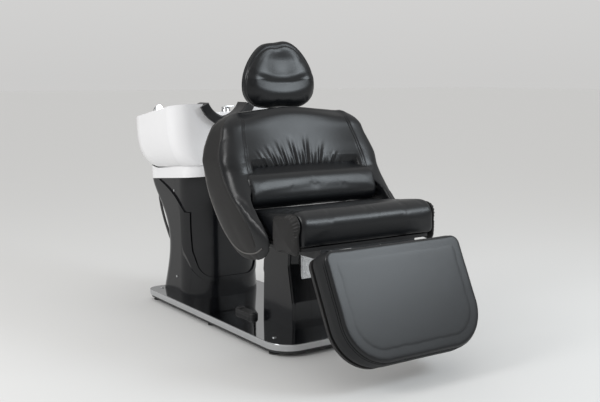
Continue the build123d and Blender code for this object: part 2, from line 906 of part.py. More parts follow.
# Foot switch: a low pod behind the column with two sprung oval pads
switch_pitch = switch_length - 2 * switch_half_width
switch_pad = switch_pad_radius - switch_edge
pad_places = [(switch_x, switch_middle + end * switch_pitch / 2) for end in (-1, 1)]
with BuildPart() as foot_switch:
    with BuildSketch(Plane.XY.offset(plate_top)):
        with Locations(Location((switch_x, switch_middle, 0), (0, 0, 90))):
            SlotOverall(switch_length, 2 * switch_half_width)
    extrude(amount=switch_height)
    fillet(foot_switch.edges().group_by(Axis.Z)[-1], switch_height * 0.3)
    with BuildSketch(Plane.XY.offset(plate_top + switch_height - switch_travel - 2 * switch_pad_seat)):
        with Locations(*pad_places):
            Circle(switch_pad + side_clearance)
    extrude(amount=switch_height, mode=Mode.SUBTRACT)
save(foot_switch, "foot_switch")

for place, name in zip(pad_places, ("foot_pad_front", "foot_pad_rear")):
    with BuildPart() as foot_pad:
        with BuildSketch(Plane.XY.offset(plate_top + switch_height - switch_pad_seat)):
            with Locations(place):
                Circle(switch_pad)
        extrude(amount=switch_pad_height)
        fillet(foot_pad.edges().group_by(Axis.Z)[-1], switch_pad_height * 0.45)
    save(foot_pad, name)

# Seat frame: rails and a plate on the column's post, cheeks at the back and ears at the front
rail_outer = seat_frame_half_width - arm_plate
rail_inner = rail_outer - rail_width
rail_middle = (rail_inner + rail_outer) / 2
frame_length = seat_rear - seat_frame_front
frame_middle = (seat_frame_front + seat_rear) / 2
cheek_inner = seat_frame_half_width - arm_plate
with BuildPart() as seat_frame:
    with BuildSketch(Plane.XY.offset(frame_top - seat_frame_plate)):
        with Locations((0, frame_middle)):
            Rectangle(2 * rail_outer, frame_length)
            RectangleRounded(rail_inner, frame_length * 0.3, rail_width / 2, mode=Mode.SUBTRACT)
    extrude(amount=seat_frame_plate)
    with BuildSketch(Plane.XY.offset(rail_bottom)):
        with Locations((-rail_middle, frame_middle), (rail_middle, frame_middle)):
            Rectangle(rail_width, frame_length)
        with Locations((0, seat_rear - rail_width / 2)):
            Rectangle(2 * rail_inner, rail_width)
        with Locations((0, (seat_rear - rail_width + column_post_front + 2 * column_post_half) / 2)):
            Rectangle(2 * head_block_half, column_post_front + 2 * column_post_half - seat_rear + rail_width)
    extrude(amount=rail_depth)
    for side in (-1, 1):
        with BuildSketch(Plane.YZ.offset(side * (cheek_inner + arm_plate / 2))):
            with BuildLine():
                Polyline(
                    (seat_rear - 3 * rail_depth, rail_bottom),
                    (back_pivot_y + torque_radius, rail_bottom),
                    (back_pivot_y + torque_radius * 1.5, back_pivot_z),
                    (back_pivot_y, back_pivot_z + torque_radius * 1.5),
                    (seat_rear + 2 * rest_gap, back_pivot_z + torque_radius),
                    (seat_rear + 2 * rest_gap, frame_top),
                    (seat_rear - 3 * rail_depth, frame_top),
                    close=True,
                )
            make_face()
            with Locations((back_pivot_y, back_pivot_z)):
                Circle(back_pin_radius + pin_clearance, mode=Mode.SUBTRACT)
        extrude(amount=arm_plate / 2, both=True)
        with BuildSketch(Plane.YZ.offset(side * (leg_ear_x + leg_plate / 2))):
            with BuildLine():
                Polyline(
                    (seat_frame_front + rail_width, rail_bottom),
                    (leg_pivot_y, leg_pivot_z - leg_knuckle),
                    (leg_pivot_y, leg_pivot_z + leg_knuckle * 0.6),
                    (seat_frame_front + rail_width, frame_top),
                    close=True,
                )
            make_face()
            with Locations((leg_pivot_y, leg_pivot_z)):
                Circle(leg_knuckle)
                Circle(leg_pin_radius, mode=Mode.SUBTRACT)
        extrude(amount=leg_plate / 2, both=True)
save(seat_frame, "seat_frame")

# Recline drive: motor and tube under the seat frame, sliding rod with a fork, shaft with a slotted crank
crank_z = back_pivot_z - crank_drop
crank_rest = crank_drop * math.tan(math.radians(crank_swing))
crank_pin_y = back_pivot_y + crank_rest
with BuildPart() as recline_actuator:
    with BuildSketch(Plane.XZ.offset(-drive_rear)):
        with Locations((drive_x, crank_z)):
            Circle(drive_tube_radius)
    extrude(amount=drive_rear - drive_front)
    with BuildSketch(Plane.XZ.offset(-drive_rear)):
        with Locations((drive_x, crank_z)):
            Circle(drive_rod_radius + pin_clearance)
    extrude(amount=drive_rear - drive_front - drive_tube_radius, mode=Mode.SUBTRACT)
    with BuildSketch(Plane.XZ.offset(-drive_front - drive_motor_length)):
        with Locations((drive_x - drive_tube_radius - drive_motor_radius, crank_z)):
            Circle(drive_motor_radius)
    extrude(amount=drive_motor_length)
    with BuildSketch(Plane.XY.offset(crank_z - drive_motor_radius * 0.9)):
        with Locations((drive_x - drive_tube_radius, drive_front + drive_motor_radius)):
            Rectangle(2 * drive_motor_radius, 2 * drive_motor_radius)
    extrude(amount=drive_motor_radius * 1.8)
    with BuildSketch(Plane.XY.offset(crank_z)):
        with Locations((drive_x, drive_front + drive_tube_radius)):
            Rectangle(drive_tube_radius, 2 * drive_tube_radius)
        with Locations((drive_x, drive_rear - drive_tube_radius)):
            Rectangle(drive_tube_radius, drive_tube_radius)
    extrude(until=Until.NEXT, target=seat_frame.part)
    with BuildSketch(Plane.XZ.offset(-drive_rear)):
        with Locations((drive_x, crank_z)):
            Circle(drive_rod_radius + pin_clearance)
    extrude(amount=drive_rear - drive_front - drive_tube_radius, mode=Mode.SUBTRACT)
save(recline_actuator, "recline_actuator")

fork_inner = crank_plate / 2 + side_clearance
fork_outer = fork_inner + fork_plate
with BuildPart() as actuator_rod:
    with BuildSketch(Plane.XZ.offset(-crank_pin_y + fork_reach)):
        with Locations((drive_x, crank_z)):
            Circle(drive_rod_radius)
    extrude(amount=crank_pin_y - fork_reach - drive_front - drive_tube_radius - drive_stroke_room)
    with Locations((drive_x, crank_pin_y - fork_reach / 2 + fork_end / 2, crank_z)):
        Box(2 * fork_outer, fork_reach + fork_end, 2 * fork_end)
        Box(2 * fork_inner, fork_reach + fork_end, 2 * fork_end, mode=Mode.SUBTRACT)
    with Locations((drive_x, crank_pin_y - fork_reach - fork_plate / 2, crank_z)):
        Box(2 * fork_outer, fork_plate, 2 * fork_end)
    with Locations(Location((drive_x, crank_pin_y, crank_z), (0, 90, 0))):
        Cylinder(crank_pin_radius, 2 * fork_outer)
save(actuator_rod, "actuator_rod")

crank_plane = Plane(
    origin=(drive_x, back_pivot_y, back_pivot_z),
    x_dir=(0, math.sin(math.radians(crank_swing)), -math.cos(math.radians(crank_swing))),
    z_dir=(1, 0, 0),
)
crank_slot_length = 3 * crank_pin_radius + crank_slot_gap
crank_slot_width = 2 * (crank_pin_radius + crank_slot_gap)
crank_reach = crank_drop / math.cos(math.radians(crank_swing))
shaft_half = seat_frame_half_width + side_clearance + arm_plate
with BuildPart() as back_shaft:
    with Locations(Location((0, back_pivot_y, back_pivot_z), (0, 90, 0))):
        Cylinder(back_pin_radius, 2 * shaft_half)
    with BuildSketch(crank_plane.offset(-crank_plate / 2)):
        with Locations(((crank_reach + crank_half) / 2, 0)):
            SlotOverall(crank_reach + 3 * crank_half, 2 * crank_half)
        with Locations((crank_reach - crank_pin_radius / 4, 0)):
            SlotOverall(crank_slot_length, crank_slot_width, mode=Mode.SUBTRACT)
    extrude(amount=crank_plate)
save(back_shaft, "back_shaft")

# Seat board, cushion and side panels
seat_cushion_bottom = seat_bottom + seat_board_height + rest_gap
with BuildPart() as seat_board:
    with BuildSketch(Plane.XY.offset(seat_bottom)):
        half = seat_half_width - seat_board_inset
        add(rounded_outline(half, seat_front + seat_end, seat_rear, 2 * seat_end, seat_end / 2))
    extrude(amount=seat_board_height)
save(seat_board, "seat_board")

# Seat cushion: a high front roll, a shallow dip behind it and rounded ends
seat_shares = ((0.0, 0.0), (0.0, 1.0), (0.25, 0.93), (1.0, 0.68), (1.0, 0.0))
seat_radii_shares = (0.16, 0.42, 0.9, 0.2, 0.08)
seat_height = seat_top - seat_cushion_bottom
seat_step_shares = ((0.0, 0.0), (0.55, 0.10), (0.88, 0.38), (1.0, 0.75))


def seat_outline(inset):
    low = (seat_front + inset, seat_cushion_bottom)
    high = (seat_rear - inset * 0.3, seat_top - inset)
    return filleted(boxed(seat_shares, low, high), [r * seat_height for r in seat_radii_shares])


with BuildPart() as seat_cushion:
    with BuildSketch(Plane.YZ):
        add(seat_outline(0.0))
    extrude(amount=seat_half_width - seat_end, both=True)
    for side in (-1, 1):
        for (out_a, in_a), (out_b, in_b) in zip(seat_step_shares, seat_step_shares[1:]):
            for out, inset in ((out_a, in_a), (out_b, in_b)):
                with BuildSketch(Plane.YZ.offset(side * (seat_half_width - seat_end + out * seat_end))):
                    add(seat_outline(inset * seat_end))
            loft(ruled=True)
save(seat_cushion, "seat_cushion")

panel_low = (seat_front + seat_panel_inset, seat_bottom - seat_panel_drop)
panel_high = (panel_low[0] + seat_panel_length, seat_top - seat_panel_inset)
panel_shares = ((0.04, 0.0), (0.0, 0.95), (0.34, 1.0), (1.0, 0.85), (1.0, 0.0))
panel_radii_shares = (0.17, 0.30, 0.47, 0.18, 0.26)
panel_radii = [r * (panel_high[1] - panel_low[1]) for r in panel_radii_shares]
for side, name in ((-1, "seat_panel_right"), (1, "seat_panel_left")):
    with BuildPart() as seat_side:
        with BuildSketch(Plane.YZ.offset(side * (seat_half_width + rest_gap))):
            add(filleted(boxed(panel_shares, panel_low, panel_high), panel_radii))
        extrude(amount=side * seat_panel)
        rims = seat_side.faces().sort_by(Axis.X)[0 if side < 0 else -1].edges()
        fillet(rims, seat_panel * 0.75)
    save(seat_side, name)

# Backrest outlines, as shares of its side view; the rear curve and the wings' front curve meet at both ends
back_low = (back_front, back_bottom)
back_high = (0.0, back_top)
rear_curve_shares = (
    (0.752, 0.214),
    (0.848, 0.327),
    (0.915, 0.431),
    (0.975, 0.573),
    (1.0, 0.686),
    (0.986, 0.790),
    (0.946, 0.875),
    (0.887, 0.932),
)
front_curve_shares = (
    (0.887, 0.932),
    (0.845, 0.975),
    (0.790, 0.998),
    (0.712, 0.966),
    (0.638, 0.860),
    (0.548, 0.715),
    (0.457, 0.573),
    (0.344, 0.459),
    (0.242, 0.374),
    (0.106, 0.270),
    (0.012, 0.185),
    (0.002, 0.105),
    (0.083, 0.040),
    (0.230, 0.004),
    (0.365, 0.0),
    (0.500, 0.036),
    (0.635, 0.119),
    (0.752, 0.214),
)
rear_curve = boxed(rear_curve_shares, back_low, back_high)
front_curve = boxed(front_curve_shares, back_low, back_high)


def around_back():
    """The whole backrest's side view inside one smooth closed curve."""
    return smooth(front_curve + rear_curve[1:-1])


def ahead_of_shell(shift, gap):
    """Everything but the slab behind the rear curve moved forward, between the ends of that curve."""
    inner = [(y - shift, z) for y, z in rear_curve[1:]]
    low = inner[0][1] - gap
    high = inner[-1][1] + gap
    front = back_low[0] - overrun
    behind = back_high[0] + overrun
    points = [
        (inner[-1][0], high),
        (behind, high),
        (behind, back_top + overrun),
        (front, back_top + overrun),
        (front, back_bottom - overrun),
        (behind, back_bottom - overrun),
        (behind, low),
        (inner[0][0], low),
    ]
    if gap:
        points = [inner[-1]] + points + [inner[0]]
    with BuildPart(mode=Mode.PRIVATE) as form:
        with BuildSketch(Plane.YZ):
            with BuildLine():
                Spline(*inner)
                Polyline(*points)
            make_face()
        extrude(amount=back_half_width + overrun, both=True)
    return form.part


shoulder_share = (0.90, 0.74)
crown_share = 0.70
shoulder_radii_shares = [0.0, 0.9, 0.42, 0.35]


def front_form(inset):
    """The front view, carried through: straight sides that lean in over rounded shoulders."""
    half = back_half_width - inset
    top = back_top - inset
    shoulder = (shoulder_share[0] * half, back_shoulder + shoulder_share[1] * (top - back_shoulder))
    crown = (crown_share * half, top)
    right = [(half, back_bottom - overrun), (half, back_shoulder), shoulder, crown]
    points = right + [(-x, z) for x, z in reversed(right)]
    radii = [r * back_shoulder_radius for r in shoulder_radii_shares]
    with BuildPart(mode=Mode.PRIVATE) as form:
        with BuildSketch(Plane.XZ):
            add(filleted(points, radii + radii[::-1]))
        extrude(amount=2 * (back_high[0] - back_low[0]), both=True)
    return form.part


wing_inner = pad_half_width + side_clearance


def wing_region(side):
    """Everything outboard of the central pads on one side."""
    outer = back_half_width + overrun
    points = [
        (wing_inner, back_top + overrun),
        (wing_inner, wing_step_high),
        (wing_inner_low, wing_step_low),
        (wing_inner_low, back_bottom - overrun),
        (outer, back_bottom - overrun),
        (outer, back_top + overrun),
    ]
    bend = wing_step_high - wing_step_low
    with BuildPart(mode=Mode.PRIVATE) as region:
        with BuildSketch(Plane.XZ):
            add(filleted([(side * x, z) for x, z in points], (0.0, bend * 0.8, bend * 0.6, 0.0, 0.0, 0.0)))
        extrude(amount=2 * (back_high[0] - back_low[0]), both=True)
    return region.part


back_outside = front_form(0.0)
back_inside = front_form(wing_panel)
panel_inside = front_form(wing_panel - rest_gap)
with BuildPart() as back_body:
    with BuildSketch(Plane.YZ):
        add(around_back())
    extrude(amount=back_half_width, both=True)
    add(back_outside, mode=Mode.INTERSECT)
    fillet([edge for edge in back_body.edges() if abs(edge.center().X) > bar_half_width], back_round)

for side, hand in ((-1, "right"), (1, "left")):
    with BuildPart() as wing:
        add(back_body.part)
        add(back_inside, mode=Mode.INTERSECT)
        add(ahead_of_shell(back_shell + rest_gap, rest_gap), mode=Mode.INTERSECT)
        add(wing_region(side), mode=Mode.INTERSECT)
    save(wing, "wing_" + hand)

    with BuildPart() as wing_side:
        add(back_body.part)
        add(panel_inside, mode=Mode.SUBTRACT)
        add(wing_region(side), mode=Mode.INTERSECT)
    save(wing_side, "wing_panel_" + hand)

# Backrest shell: the moulded rear panel that follows the rear curve
with BuildPart() as backrest_shell:
    add(back_body.part)
    add(back_inside, mode=Mode.INTERSECT)
    add(ahead_of_shell(back_shell, 0.0), mode=Mode.SUBTRACT)
save(backrest_shell, "backrest_shell")

# Central pad above the lumbar roll, and the roll
pleat_length_shares = (0.55, 0.72, 0.60, 0.84, 0.70, 1.0, 0.78, 0.92)
pad_shares = ((0.0, 0.074), (0.754, 1.0), (0.975, 0.955), (0.995, 0.82), (0.59, 0.0))
pad_radii_shares = (0.25, 0.9, 0.33, 0.5, 0.25)
pad_radii = [r * pad_edge for r in pad_radii_shares]
pad_line = boxed(pad_shares[:2], (pad_front, pad_bottom), (pad_rear, back_top))
pad_foot = Vector(0, *pad_line[0])
pad_up = (Vector(0, *pad_line[1]) - pad_foot).normalized()
pleat_step = (pleat_right - pleat_left) / (pleat_count - 1)
with BuildPart() as backrest_cushion:
    with BuildSketch(Plane.YZ):
        add(filleted(boxed(pad_shares, (pad_front, pad_bottom), (pad_rear, back_top)), pad_radii))
    extrude(amount=pad_half_width, both=True)
    add(back_inside, mode=Mode.INTERSECT)
    for i in range(pleat_count):
        lean = math.radians(pleat_lean_low + (pleat_lean_high - pleat_lean_low) * i / (pleat_count - 1))
        length = pleat_length * pleat_length_shares[i % len(pleat_length_shares)]
        way = pad_up * math.cos(lean) + Vector(math.sin(lean), 0, 0)
        foot = pad_foot + pad_up * pleat_start + Vector(pleat_left + i * pleat_step, 0, 0)
        with Locations(Plane(origin=foot + way * (length / 2), z_dir=way).location):
            Cone(pleat_depth, pleat_depth / 8, length, mode=Mode.SUBTRACT)
save(backrest_cushion, "backrest_cushion")

lumbar_shares = ((0.617, 1.0), (0.183, 0.80), (0.0, 0.23), (0.18, 0.0), (0.85, 0.0), (1.0, 0.864))
lumbar_radii_shares = (0.5, 1.7, 1.35, 0.7, 0.3, 0.25)
lumbar_radii = [r * pad_edge for r in lumbar_radii_shares]
with BuildPart() as lumbar_roll:
    with BuildSketch(Plane.YZ):
        lumbar_line = boxed(lumbar_shares, (lumbar_front, lumbar_bottom), (lumbar_rear, lumbar_top))
        add(filleted(lumbar_line, lumbar_radii))
    extrude(amount=pad_half_width, both=True)
save(lumbar_roll, "lumbar_roll")

# Plywood board behind the pads, and the two steel arms that carry it on the shaft
board_top = pad_bottom + 0.72 * (back_top - pad_bottom)


def board_y(z):
    return lumbar_rear + 0.41 * (pad_rear - pad_front) / (0.82 * (back_top - pad_bottom)) * (z - pad_bottom)


with BuildPart() as backrest_board:
    with BuildSketch(Plane.YZ):
        with BuildLine():
            Polyline(
                (board_y(lumbar_bottom) + board_gap, lumbar_bottom),
                (board_y(board_top) + board_gap, board_top),
                (board_y(board_top) + back_board, board_top),
                (board_y(lumbar_bottom) + back_board, lumbar_bottom),
                close=True,
            )
        make_face()
    extrude(amount=pad_half_width, both=True)
save(backrest_board, "backrest_board")

arm_inner = seat_frame_half_width + side_clearance
arm_top = pad_bottom
arm_foot = lumbar_bottom - 2 * rest_gap
board_back = back_board + rest_gap
cross_top = arm_foot + 2 * torque_radius
with BuildPart() as backrest_arms:
    for side in (-1, 1):
        with BuildSketch(Plane.YZ.offset(side * (arm_inner + arm_plate / 2))):
            with BuildLine():
                Polyline(
                    (back_pivot_y - 1.2 * torque_radius, back_pivot_z + torque_radius / 2),
                    (board_y(arm_foot), arm_foot),
                    (board_y(arm_foot) + board_back, arm_foot),
                    (board_y(arm_top) + board_back, arm_top),
                    (board_y(arm_top) + board_back + torque_radius, arm_top),
                    (board_y(arm_foot) + board_back + 2 * torque_radius, arm_foot),
                    (back_pivot_y + 1.4 * torque_radius, back_pivot_z - torque_radius / 2),
                    close=True,
                )
            make_face()
            with Locations((back_pivot_y, back_pivot_z)):
                Circle(torque_radius * 1.5)
                Circle(back_pin_radius, mode=Mode.SUBTRACT)
        extrude(amount=arm_plate / 2, both=True)
    with BuildSketch(Plane.YZ):
        with BuildLine():
            Polyline(
                (board_y(arm_foot) + board_back, arm_foot),
                (board_y(cross_top) + board_back, cross_top),
                (board_y(cross_top) + board_back + arm_plate / 2, cross_top),
                (board_y(arm_foot) + board_back + arm_plate / 2, arm_foot),
                close=True,
            )
        make_face()
    extrude(amount=arm_inner + arm_plate, both=True)
save(backrest_arms, "backrest_arms")

# Headrest guide on the backrest shell, with the bar that slides in it
slide_gap = rest_gap
bar_front = head_pivot_y - bar_thickness / 2
bar_rear = head_pivot_y + bar_thickness / 2
guide_bore = guide_half_width - guide_wall
with BuildPart() as headrest_guide:
    with BuildSketch(Plane.XY.offset(guide_bottom)):
        with Locations((0, (bar_rear + guide_wall) / 2 - back_shell / 2)):
            RectangleRounded(2 * guide_half_width, bar_rear + guide_wall + back_shell, guide_wall / 2)
        with Locations((0, head_pivot_y)):
            Rectangle(2 * (bar_half_width + slide_gap), bar_thickness + 2 * slide_gap, mode=Mode.SUBTRACT)
        with Locations((0, (bar_front - slide_gap - guide_wall) / 2)):
            Rectangle(2 * guide_bore, bar_front - slide_gap - guide_wall, mode=Mode.SUBTRACT)
    extrude(amount=guide_top - guide_bottom)
    add(back_body.part, mode=Mode.SUBTRACT)
save(headrest_guide, "headrest_guide")

with BuildPart() as headrest_bar:
    with BuildSketch(Plane.XZ.offset(-bar_front)):
        with Locations((0, (bar_bottom + head_pivot_z) / 2)):
            RectangleRounded(2 * bar_half_width, head_pivot_z - bar_bottom, bar_thickness / 2)
    extrude(amount=-bar_thickness)
    with Locations(Location((0, head_pivot_y, head_pivot_z), (0, 90, 0))):
        Cylinder(head_knuckle, 2 * bar_half_width)
        Cylinder(head_pin_radius + pin_clearance, 4 * bar_half_width, mode=Mode.SUBTRACT)
save(headrest_bar, "headrest_bar")

ear_inner = bar_half_width + side_clearance
plate_rear_y = head_rear + rest_gap + head_plate
with BuildPart() as headrest_plate:
    with BuildSketch(Plane.XZ.offset(-head_rear - rest_gap)):
        with Locations((0, head_pivot_z + head_plate_half / 4)):
            RectangleRounded(2 * head_plate_half, 2 * head_plate_half, head_plate_half / 3)
    extrude(amount=-head_plate)
    for side in (-1, 1):
        with BuildSketch(Plane.YZ.offset(side * (ear_inner + head_ear / 2))):
            with Locations(((plate_rear_y + head_pivot_y) / 2 - rest_gap, head_pivot_z)):
                Rectangle(head_pivot_y - plate_rear_y + 2 * rest_gap, 2 * head_knuckle)
            with Locations((head_pivot_y, head_pivot_z)):
                Circle(head_knuckle)
                Circle(head_pin_radius, mode=Mode.SUBTRACT)
        extrude(amount=head_ear / 2, both=True)
save(headrest_plate, "headrest_plate")

with BuildPart() as headrest_pin:
    with Locations(Location((0, head_pivot_y, head_pivot_z), (0, 90, 0))):
        Cylinder(head_pin_radius, 2 * (ear_inner + head_ear))
save(headrest_pin, "headrest_pin")

# Headrest cushion: an egg seen from the front, crowned, with a shallow dish for the head
head_shares = (
    (0.0, 1.0),
    (0.50, 0.955),
    (0.86, 0.72),
    (1.0, 0.40),
    (0.96, 0.18),
    (0.70, 0.03),
    (0.0, 0.0),
)
head_step_shares = ((0.0, 0.93), (0.12, 0.985), (0.35, 1.0), (0.62, 0.985), (0.84, 0.92), (1.0, 0.80))
head_middle = (head_top + head_bottom) / 2


def head_outline(scale):
    half = head_half_width * scale
    low = head_middle + (head_bottom - head_middle) * scale
    high = head_middle + (head_top - head_middle) * scale
    right = [(x * half, low + up * (high - low)) for x, up in head_shares]
    return smooth(right + [(-x, z) for x, z in reversed(right[1:-1])])


with BuildPart() as headrest_cushion:
    for depth, scale in head_step_shares:
        with BuildSketch(Plane.XZ.offset(-head_rear + depth * (head_rear - head_front))):
            add(head_outline(scale))
    loft()
    dish_z = head_bottom + 0.62 * (head_top - head_bottom)
    with Locations((0, head_front - head_dish_radius + head_dish, dish_z)):
        Sphere(head_dish_radius, mode=Mode.SUBTRACT)
save(headrest_cushion, "headrest_cushion")

# Legrest: board, crowned cushion, and the arms that hang it on the seat frame's front ears
leg_t = math.radians(leg_lean)
leg_plane = Plane(
    origin=(0, leg_top_y, leg_top_z),
    x_dir=(1, 0, 0),
    z_dir=(0, -math.cos(leg_t), math.sin(leg_t)),
)


def leg_outline(inset):
    """The legrest seen square to its face: a slight taper to two large bottom corners."""
    top = leg_half_width - inset
    foot = leg_half_width * leg_taper_share - inset
    points = ((-top, -inset), (-foot, inset - leg_length), (foot, inset - leg_length), (top, -inset))
    small = max(leg_top_corner - inset, leg_edge / 4)
    large = leg_bottom_corner - inset
    return filleted(points, (small, large, large, small))


leg_taper_share = 0.985
with BuildPart() as legrest_board:
    with BuildSketch(leg_plane):
        add(leg_outline(leg_board_inset))
    extrude(amount=leg_board)
save(legrest_board, "legrest_board")

leg_step_shares = (
    (0.0, 0.9),
    (0.16, 0.25),
    (0.42, 0.0),
    (0.66, 0.2),
    (0.84, 0.75),
    (0.93, 1.2),
    (0.98, 2.3),
    (1.0, 4.2),
)
leg_cushion_low = leg_board + rest_gap
leg_cushion_height = leg_thickness - leg_cushion_low
with BuildPart() as legrest_cushion:
    for (up_a, in_a), (up_b, in_b) in zip(leg_step_shares, leg_step_shares[1:]):
        for up, inset in ((up_a, in_a), (up_b, in_b)):
            with BuildSketch(leg_plane.offset(leg_cushion_low + up * leg_cushion_height)):
                add(leg_outline(inset * leg_edge))
        loft(ruled=True)
save(legrest_cushion, "legrest_cushion")

leg_arm_x = leg_ear_x + leg_plate + side_clearance + leg_plate / 2
leg_board_back = leg_plane.origin - leg_plane.z_dir * rest_gap
leg_down = -leg_plane.y_dir
with BuildPart() as legrest_arms:
    for side in (-1, 1):
        near = leg_board_back + leg_down * (leg_board_inset / 3)
        far = leg_board_back + leg_down * leg_arm_length
        back = leg_plane.z_dir * (-leg_arm_depth)
        with BuildSketch(Plane.YZ.offset(side * leg_arm_x)):
            with BuildLine():
                Polyline(
                    (near.Y, near.Z),
                    (far.Y, far.Z),
                    ((far + back / 3).Y, (far + back / 3).Z),
                    ((near + back).Y, (near + back).Z),
                    close=True,
                )
            make_face()
            with Locations((leg_pivot_y, leg_pivot_z)):
                Circle(leg_knuckle)
                Circle(leg_pin_radius + pin_clearance, mode=Mode.SUBTRACT)
        extrude(amount=leg_plate / 2, both=True)
save(legrest_arms, "legrest_arms")

with BuildPart() as legrest_pins:
    for side in (-1, 1):
        pin_x = leg_ear_x + leg_plate + side_clearance / 2
        with Locations(Location((side * pin_x, leg_pivot_y, leg_pivot_z), (0, 90, 0))):
            Cylinder(leg_pin_radius, 2 * leg_plate + 3 * side_clearance)
save(legrest_pins, "legrest_pins")
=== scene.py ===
import math

import bpy
import bmesh
import numpy as np
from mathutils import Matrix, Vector
from mathutils.bvhtree import BVHTree


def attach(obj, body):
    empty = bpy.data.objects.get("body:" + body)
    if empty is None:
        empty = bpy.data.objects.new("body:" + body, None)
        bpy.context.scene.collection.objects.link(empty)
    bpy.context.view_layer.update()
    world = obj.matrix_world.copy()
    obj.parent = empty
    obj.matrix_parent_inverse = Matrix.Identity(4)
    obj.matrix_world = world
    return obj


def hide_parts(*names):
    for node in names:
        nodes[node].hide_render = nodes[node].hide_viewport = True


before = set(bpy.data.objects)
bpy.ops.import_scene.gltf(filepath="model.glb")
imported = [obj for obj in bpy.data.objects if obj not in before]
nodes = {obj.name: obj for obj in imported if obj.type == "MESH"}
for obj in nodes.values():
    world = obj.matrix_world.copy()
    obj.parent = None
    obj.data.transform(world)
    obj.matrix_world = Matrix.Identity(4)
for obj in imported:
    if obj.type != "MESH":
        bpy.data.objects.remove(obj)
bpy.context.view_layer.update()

# Camera
# The bed is seen from the sitter's right, a step in front of the legrest.
# The lens sits a metre above the floor and looks slightly down.
camera_place = Vector((-1.938, -3.028, 1.010))
camera_way = Vector((0.5557, 0.8201, -0.1368))
camera = bpy.data.objects.new("camera", bpy.data.cameras.new("camera"))
camera.data.sensor_width = 36.0
camera.data.lens = 54.0
camera.data.clip_end = 200.0
camera.location = camera_place
camera.rotation_euler = camera_way.to_track_quat("-Z", "Y").to_euler()
bpy.context.scene.collection.objects.link(camera)
bpy.context.scene.camera = camera
bpy.context.scene.view_settings.view_transform = "Standard"


# Floor plate
# A steel sheet cover, folded down over a welded and painted tube frame that stands on screw feet.
# Its top is polished like a mirror, and the folded band round it is brushed along its length.
def finish(name, colour, roughness, metallic=0.0, **settings):
    """A material of one shader, to which the helpers below add grain."""
    material = bpy.data.materials.new(name)
    material.use_nodes = True
    shader = material.node_tree.nodes["Principled BSDF"]
    shader.inputs["Base Color"].default_value = (*colour, 1.0)
    shader.inputs["Roughness"].default_value = roughness
    shader.inputs["Metallic"].default_value = metallic
    for label, value in settings.items():
        shader.inputs[label.replace("_", " ")].default_value = value
    return material


def node(material, kind, **values):
    """A node of a material, with its settings and its unlinked inputs filled in."""
    made = material.node_tree.nodes.new(kind)
    for label, value in values.items():
        if hasattr(made, label):
            setattr(made, label, value)
        else:
            made.inputs[label.replace("_", " ")].default_value = value
    return made


def link(material, out, into):
    material.node_tree.links.new(out, into)


def shader_input(material, label):
    return material.node_tree.nodes["Principled BSDF"].inputs[label]


def places(material, stretch=(1.0, 1.0, 1.0)):
    """Coordinates in metres that stay with the piece, stretched along its grain."""
    coordinates = node(material, "ShaderNodeTexCoord")
    mapping = node(material, "ShaderNodeMapping")
    mapping.inputs["Scale"].default_value = stretch
    link(material, coordinates.outputs["Object"], mapping.inputs["Vector"])
    return mapping.outputs["Vector"]


def speckle(material, scale, detail=2.0, stretch=(1.0, 1.0, 1.0)):
    """Noise of so many spots to the metre."""
    spots = node(material, "ShaderNodeTexNoise", Scale=scale, Detail=detail)
    link(material, places(material, stretch), spots.inputs["Vector"])
    return spots.outputs["Fac"]


def between(material, value, low, high, start=0.0, end=1.0):
    """value carried from start and end to low and high."""
    span = node(material, "ShaderNodeMapRange", clamp=True)
    span.inputs["From Min"].default_value = start
    span.inputs["From Max"].default_value = end
    span.inputs["To Min"].default_value = low
    span.inputs["To Max"].default_value = high
    link(material, value, span.inputs["Value"])
    return span.outputs["Result"]


def relief(material, *layers):
    """Stacks bumps on the shader; each layer is a height, a depth in metres and a strength."""
    below = None
    for height, depth, strength in layers:
        bump = node(material, "ShaderNodeBump", Distance=depth, Strength=strength)
        link(material, height, bump.inputs["Height"])
        if below:
            link(material, below, bump.inputs["Normal"])
        below = bump.outputs["Normal"]
    link(material, below, shader_input(material, "Normal"))


def tinted(material, value, dark, light):
    """The base colour wanders between two tones as value does."""
    ramp = node(material, "ShaderNodeValToRGB")
    ramp.color_ramp.elements[0].color = (*dark, 1.0)
    ramp.color_ramp.elements[1].color = (*light, 1.0)
    link(material, value, ramp.inputs["Fac"])
    link(material, ramp.outputs["Color"], shader_input(material, "Base Color"))


def worn(material, value, low, high):
    """The roughness wanders between low and high as value does."""
    link(material, between(material, value, low, high, 0.3, 0.7), shader_input(material, "Roughness"))


def dressed(material, *names):
    """Gives CAD nodes their finish."""
    for name in names:
        for place in nodes[name].material_slots:
            place.material = material


band_top = 0.0478
fold_height = 0.001
band_roughness = 0.30
top_roughness = 0.055
plate_steel = finish("plate_steel", (0.62, 0.63, 0.64), top_roughness, 1.0)
plate_place = node(plate_steel, "ShaderNodeSeparateXYZ")
link(plate_steel, places(plate_steel), plate_place.inputs["Vector"])
on_top = between(plate_steel, plate_place.outputs["Z"], 0.0, 1.0, band_top - fold_height, band_top)
polish = between(plate_steel, on_top, band_roughness, top_roughness)
link(plate_steel, polish, shader_input(plate_steel, "Roughness"))
brushed = speckle(plate_steel, 60.0, 4.0, (1.0, 1.0, 60.0))
relief(plate_steel, (brushed, 0.0003, 0.06), (speckle(plate_steel, 7.0), 0.0012, 0.05))
tinted(plate_steel, speckle(plate_steel, 5.0), (0.56, 0.57, 0.58), (0.66, 0.67, 0.68))
dressed(plate_steel, "base_cover")

frame_paint = finish("frame_paint", (0.03, 0.031, 0.033), 0.5)
relief(frame_paint, (speckle(frame_paint, 900.0), 0.0002, 0.3))
worn(frame_paint, speckle(frame_paint, 40.0), 0.42, 0.6)
tinted(frame_paint, speckle(frame_paint, 12.0), (0.024, 0.025, 0.027), (0.04, 0.041, 0.043))
dressed(frame_paint, "base_frame")

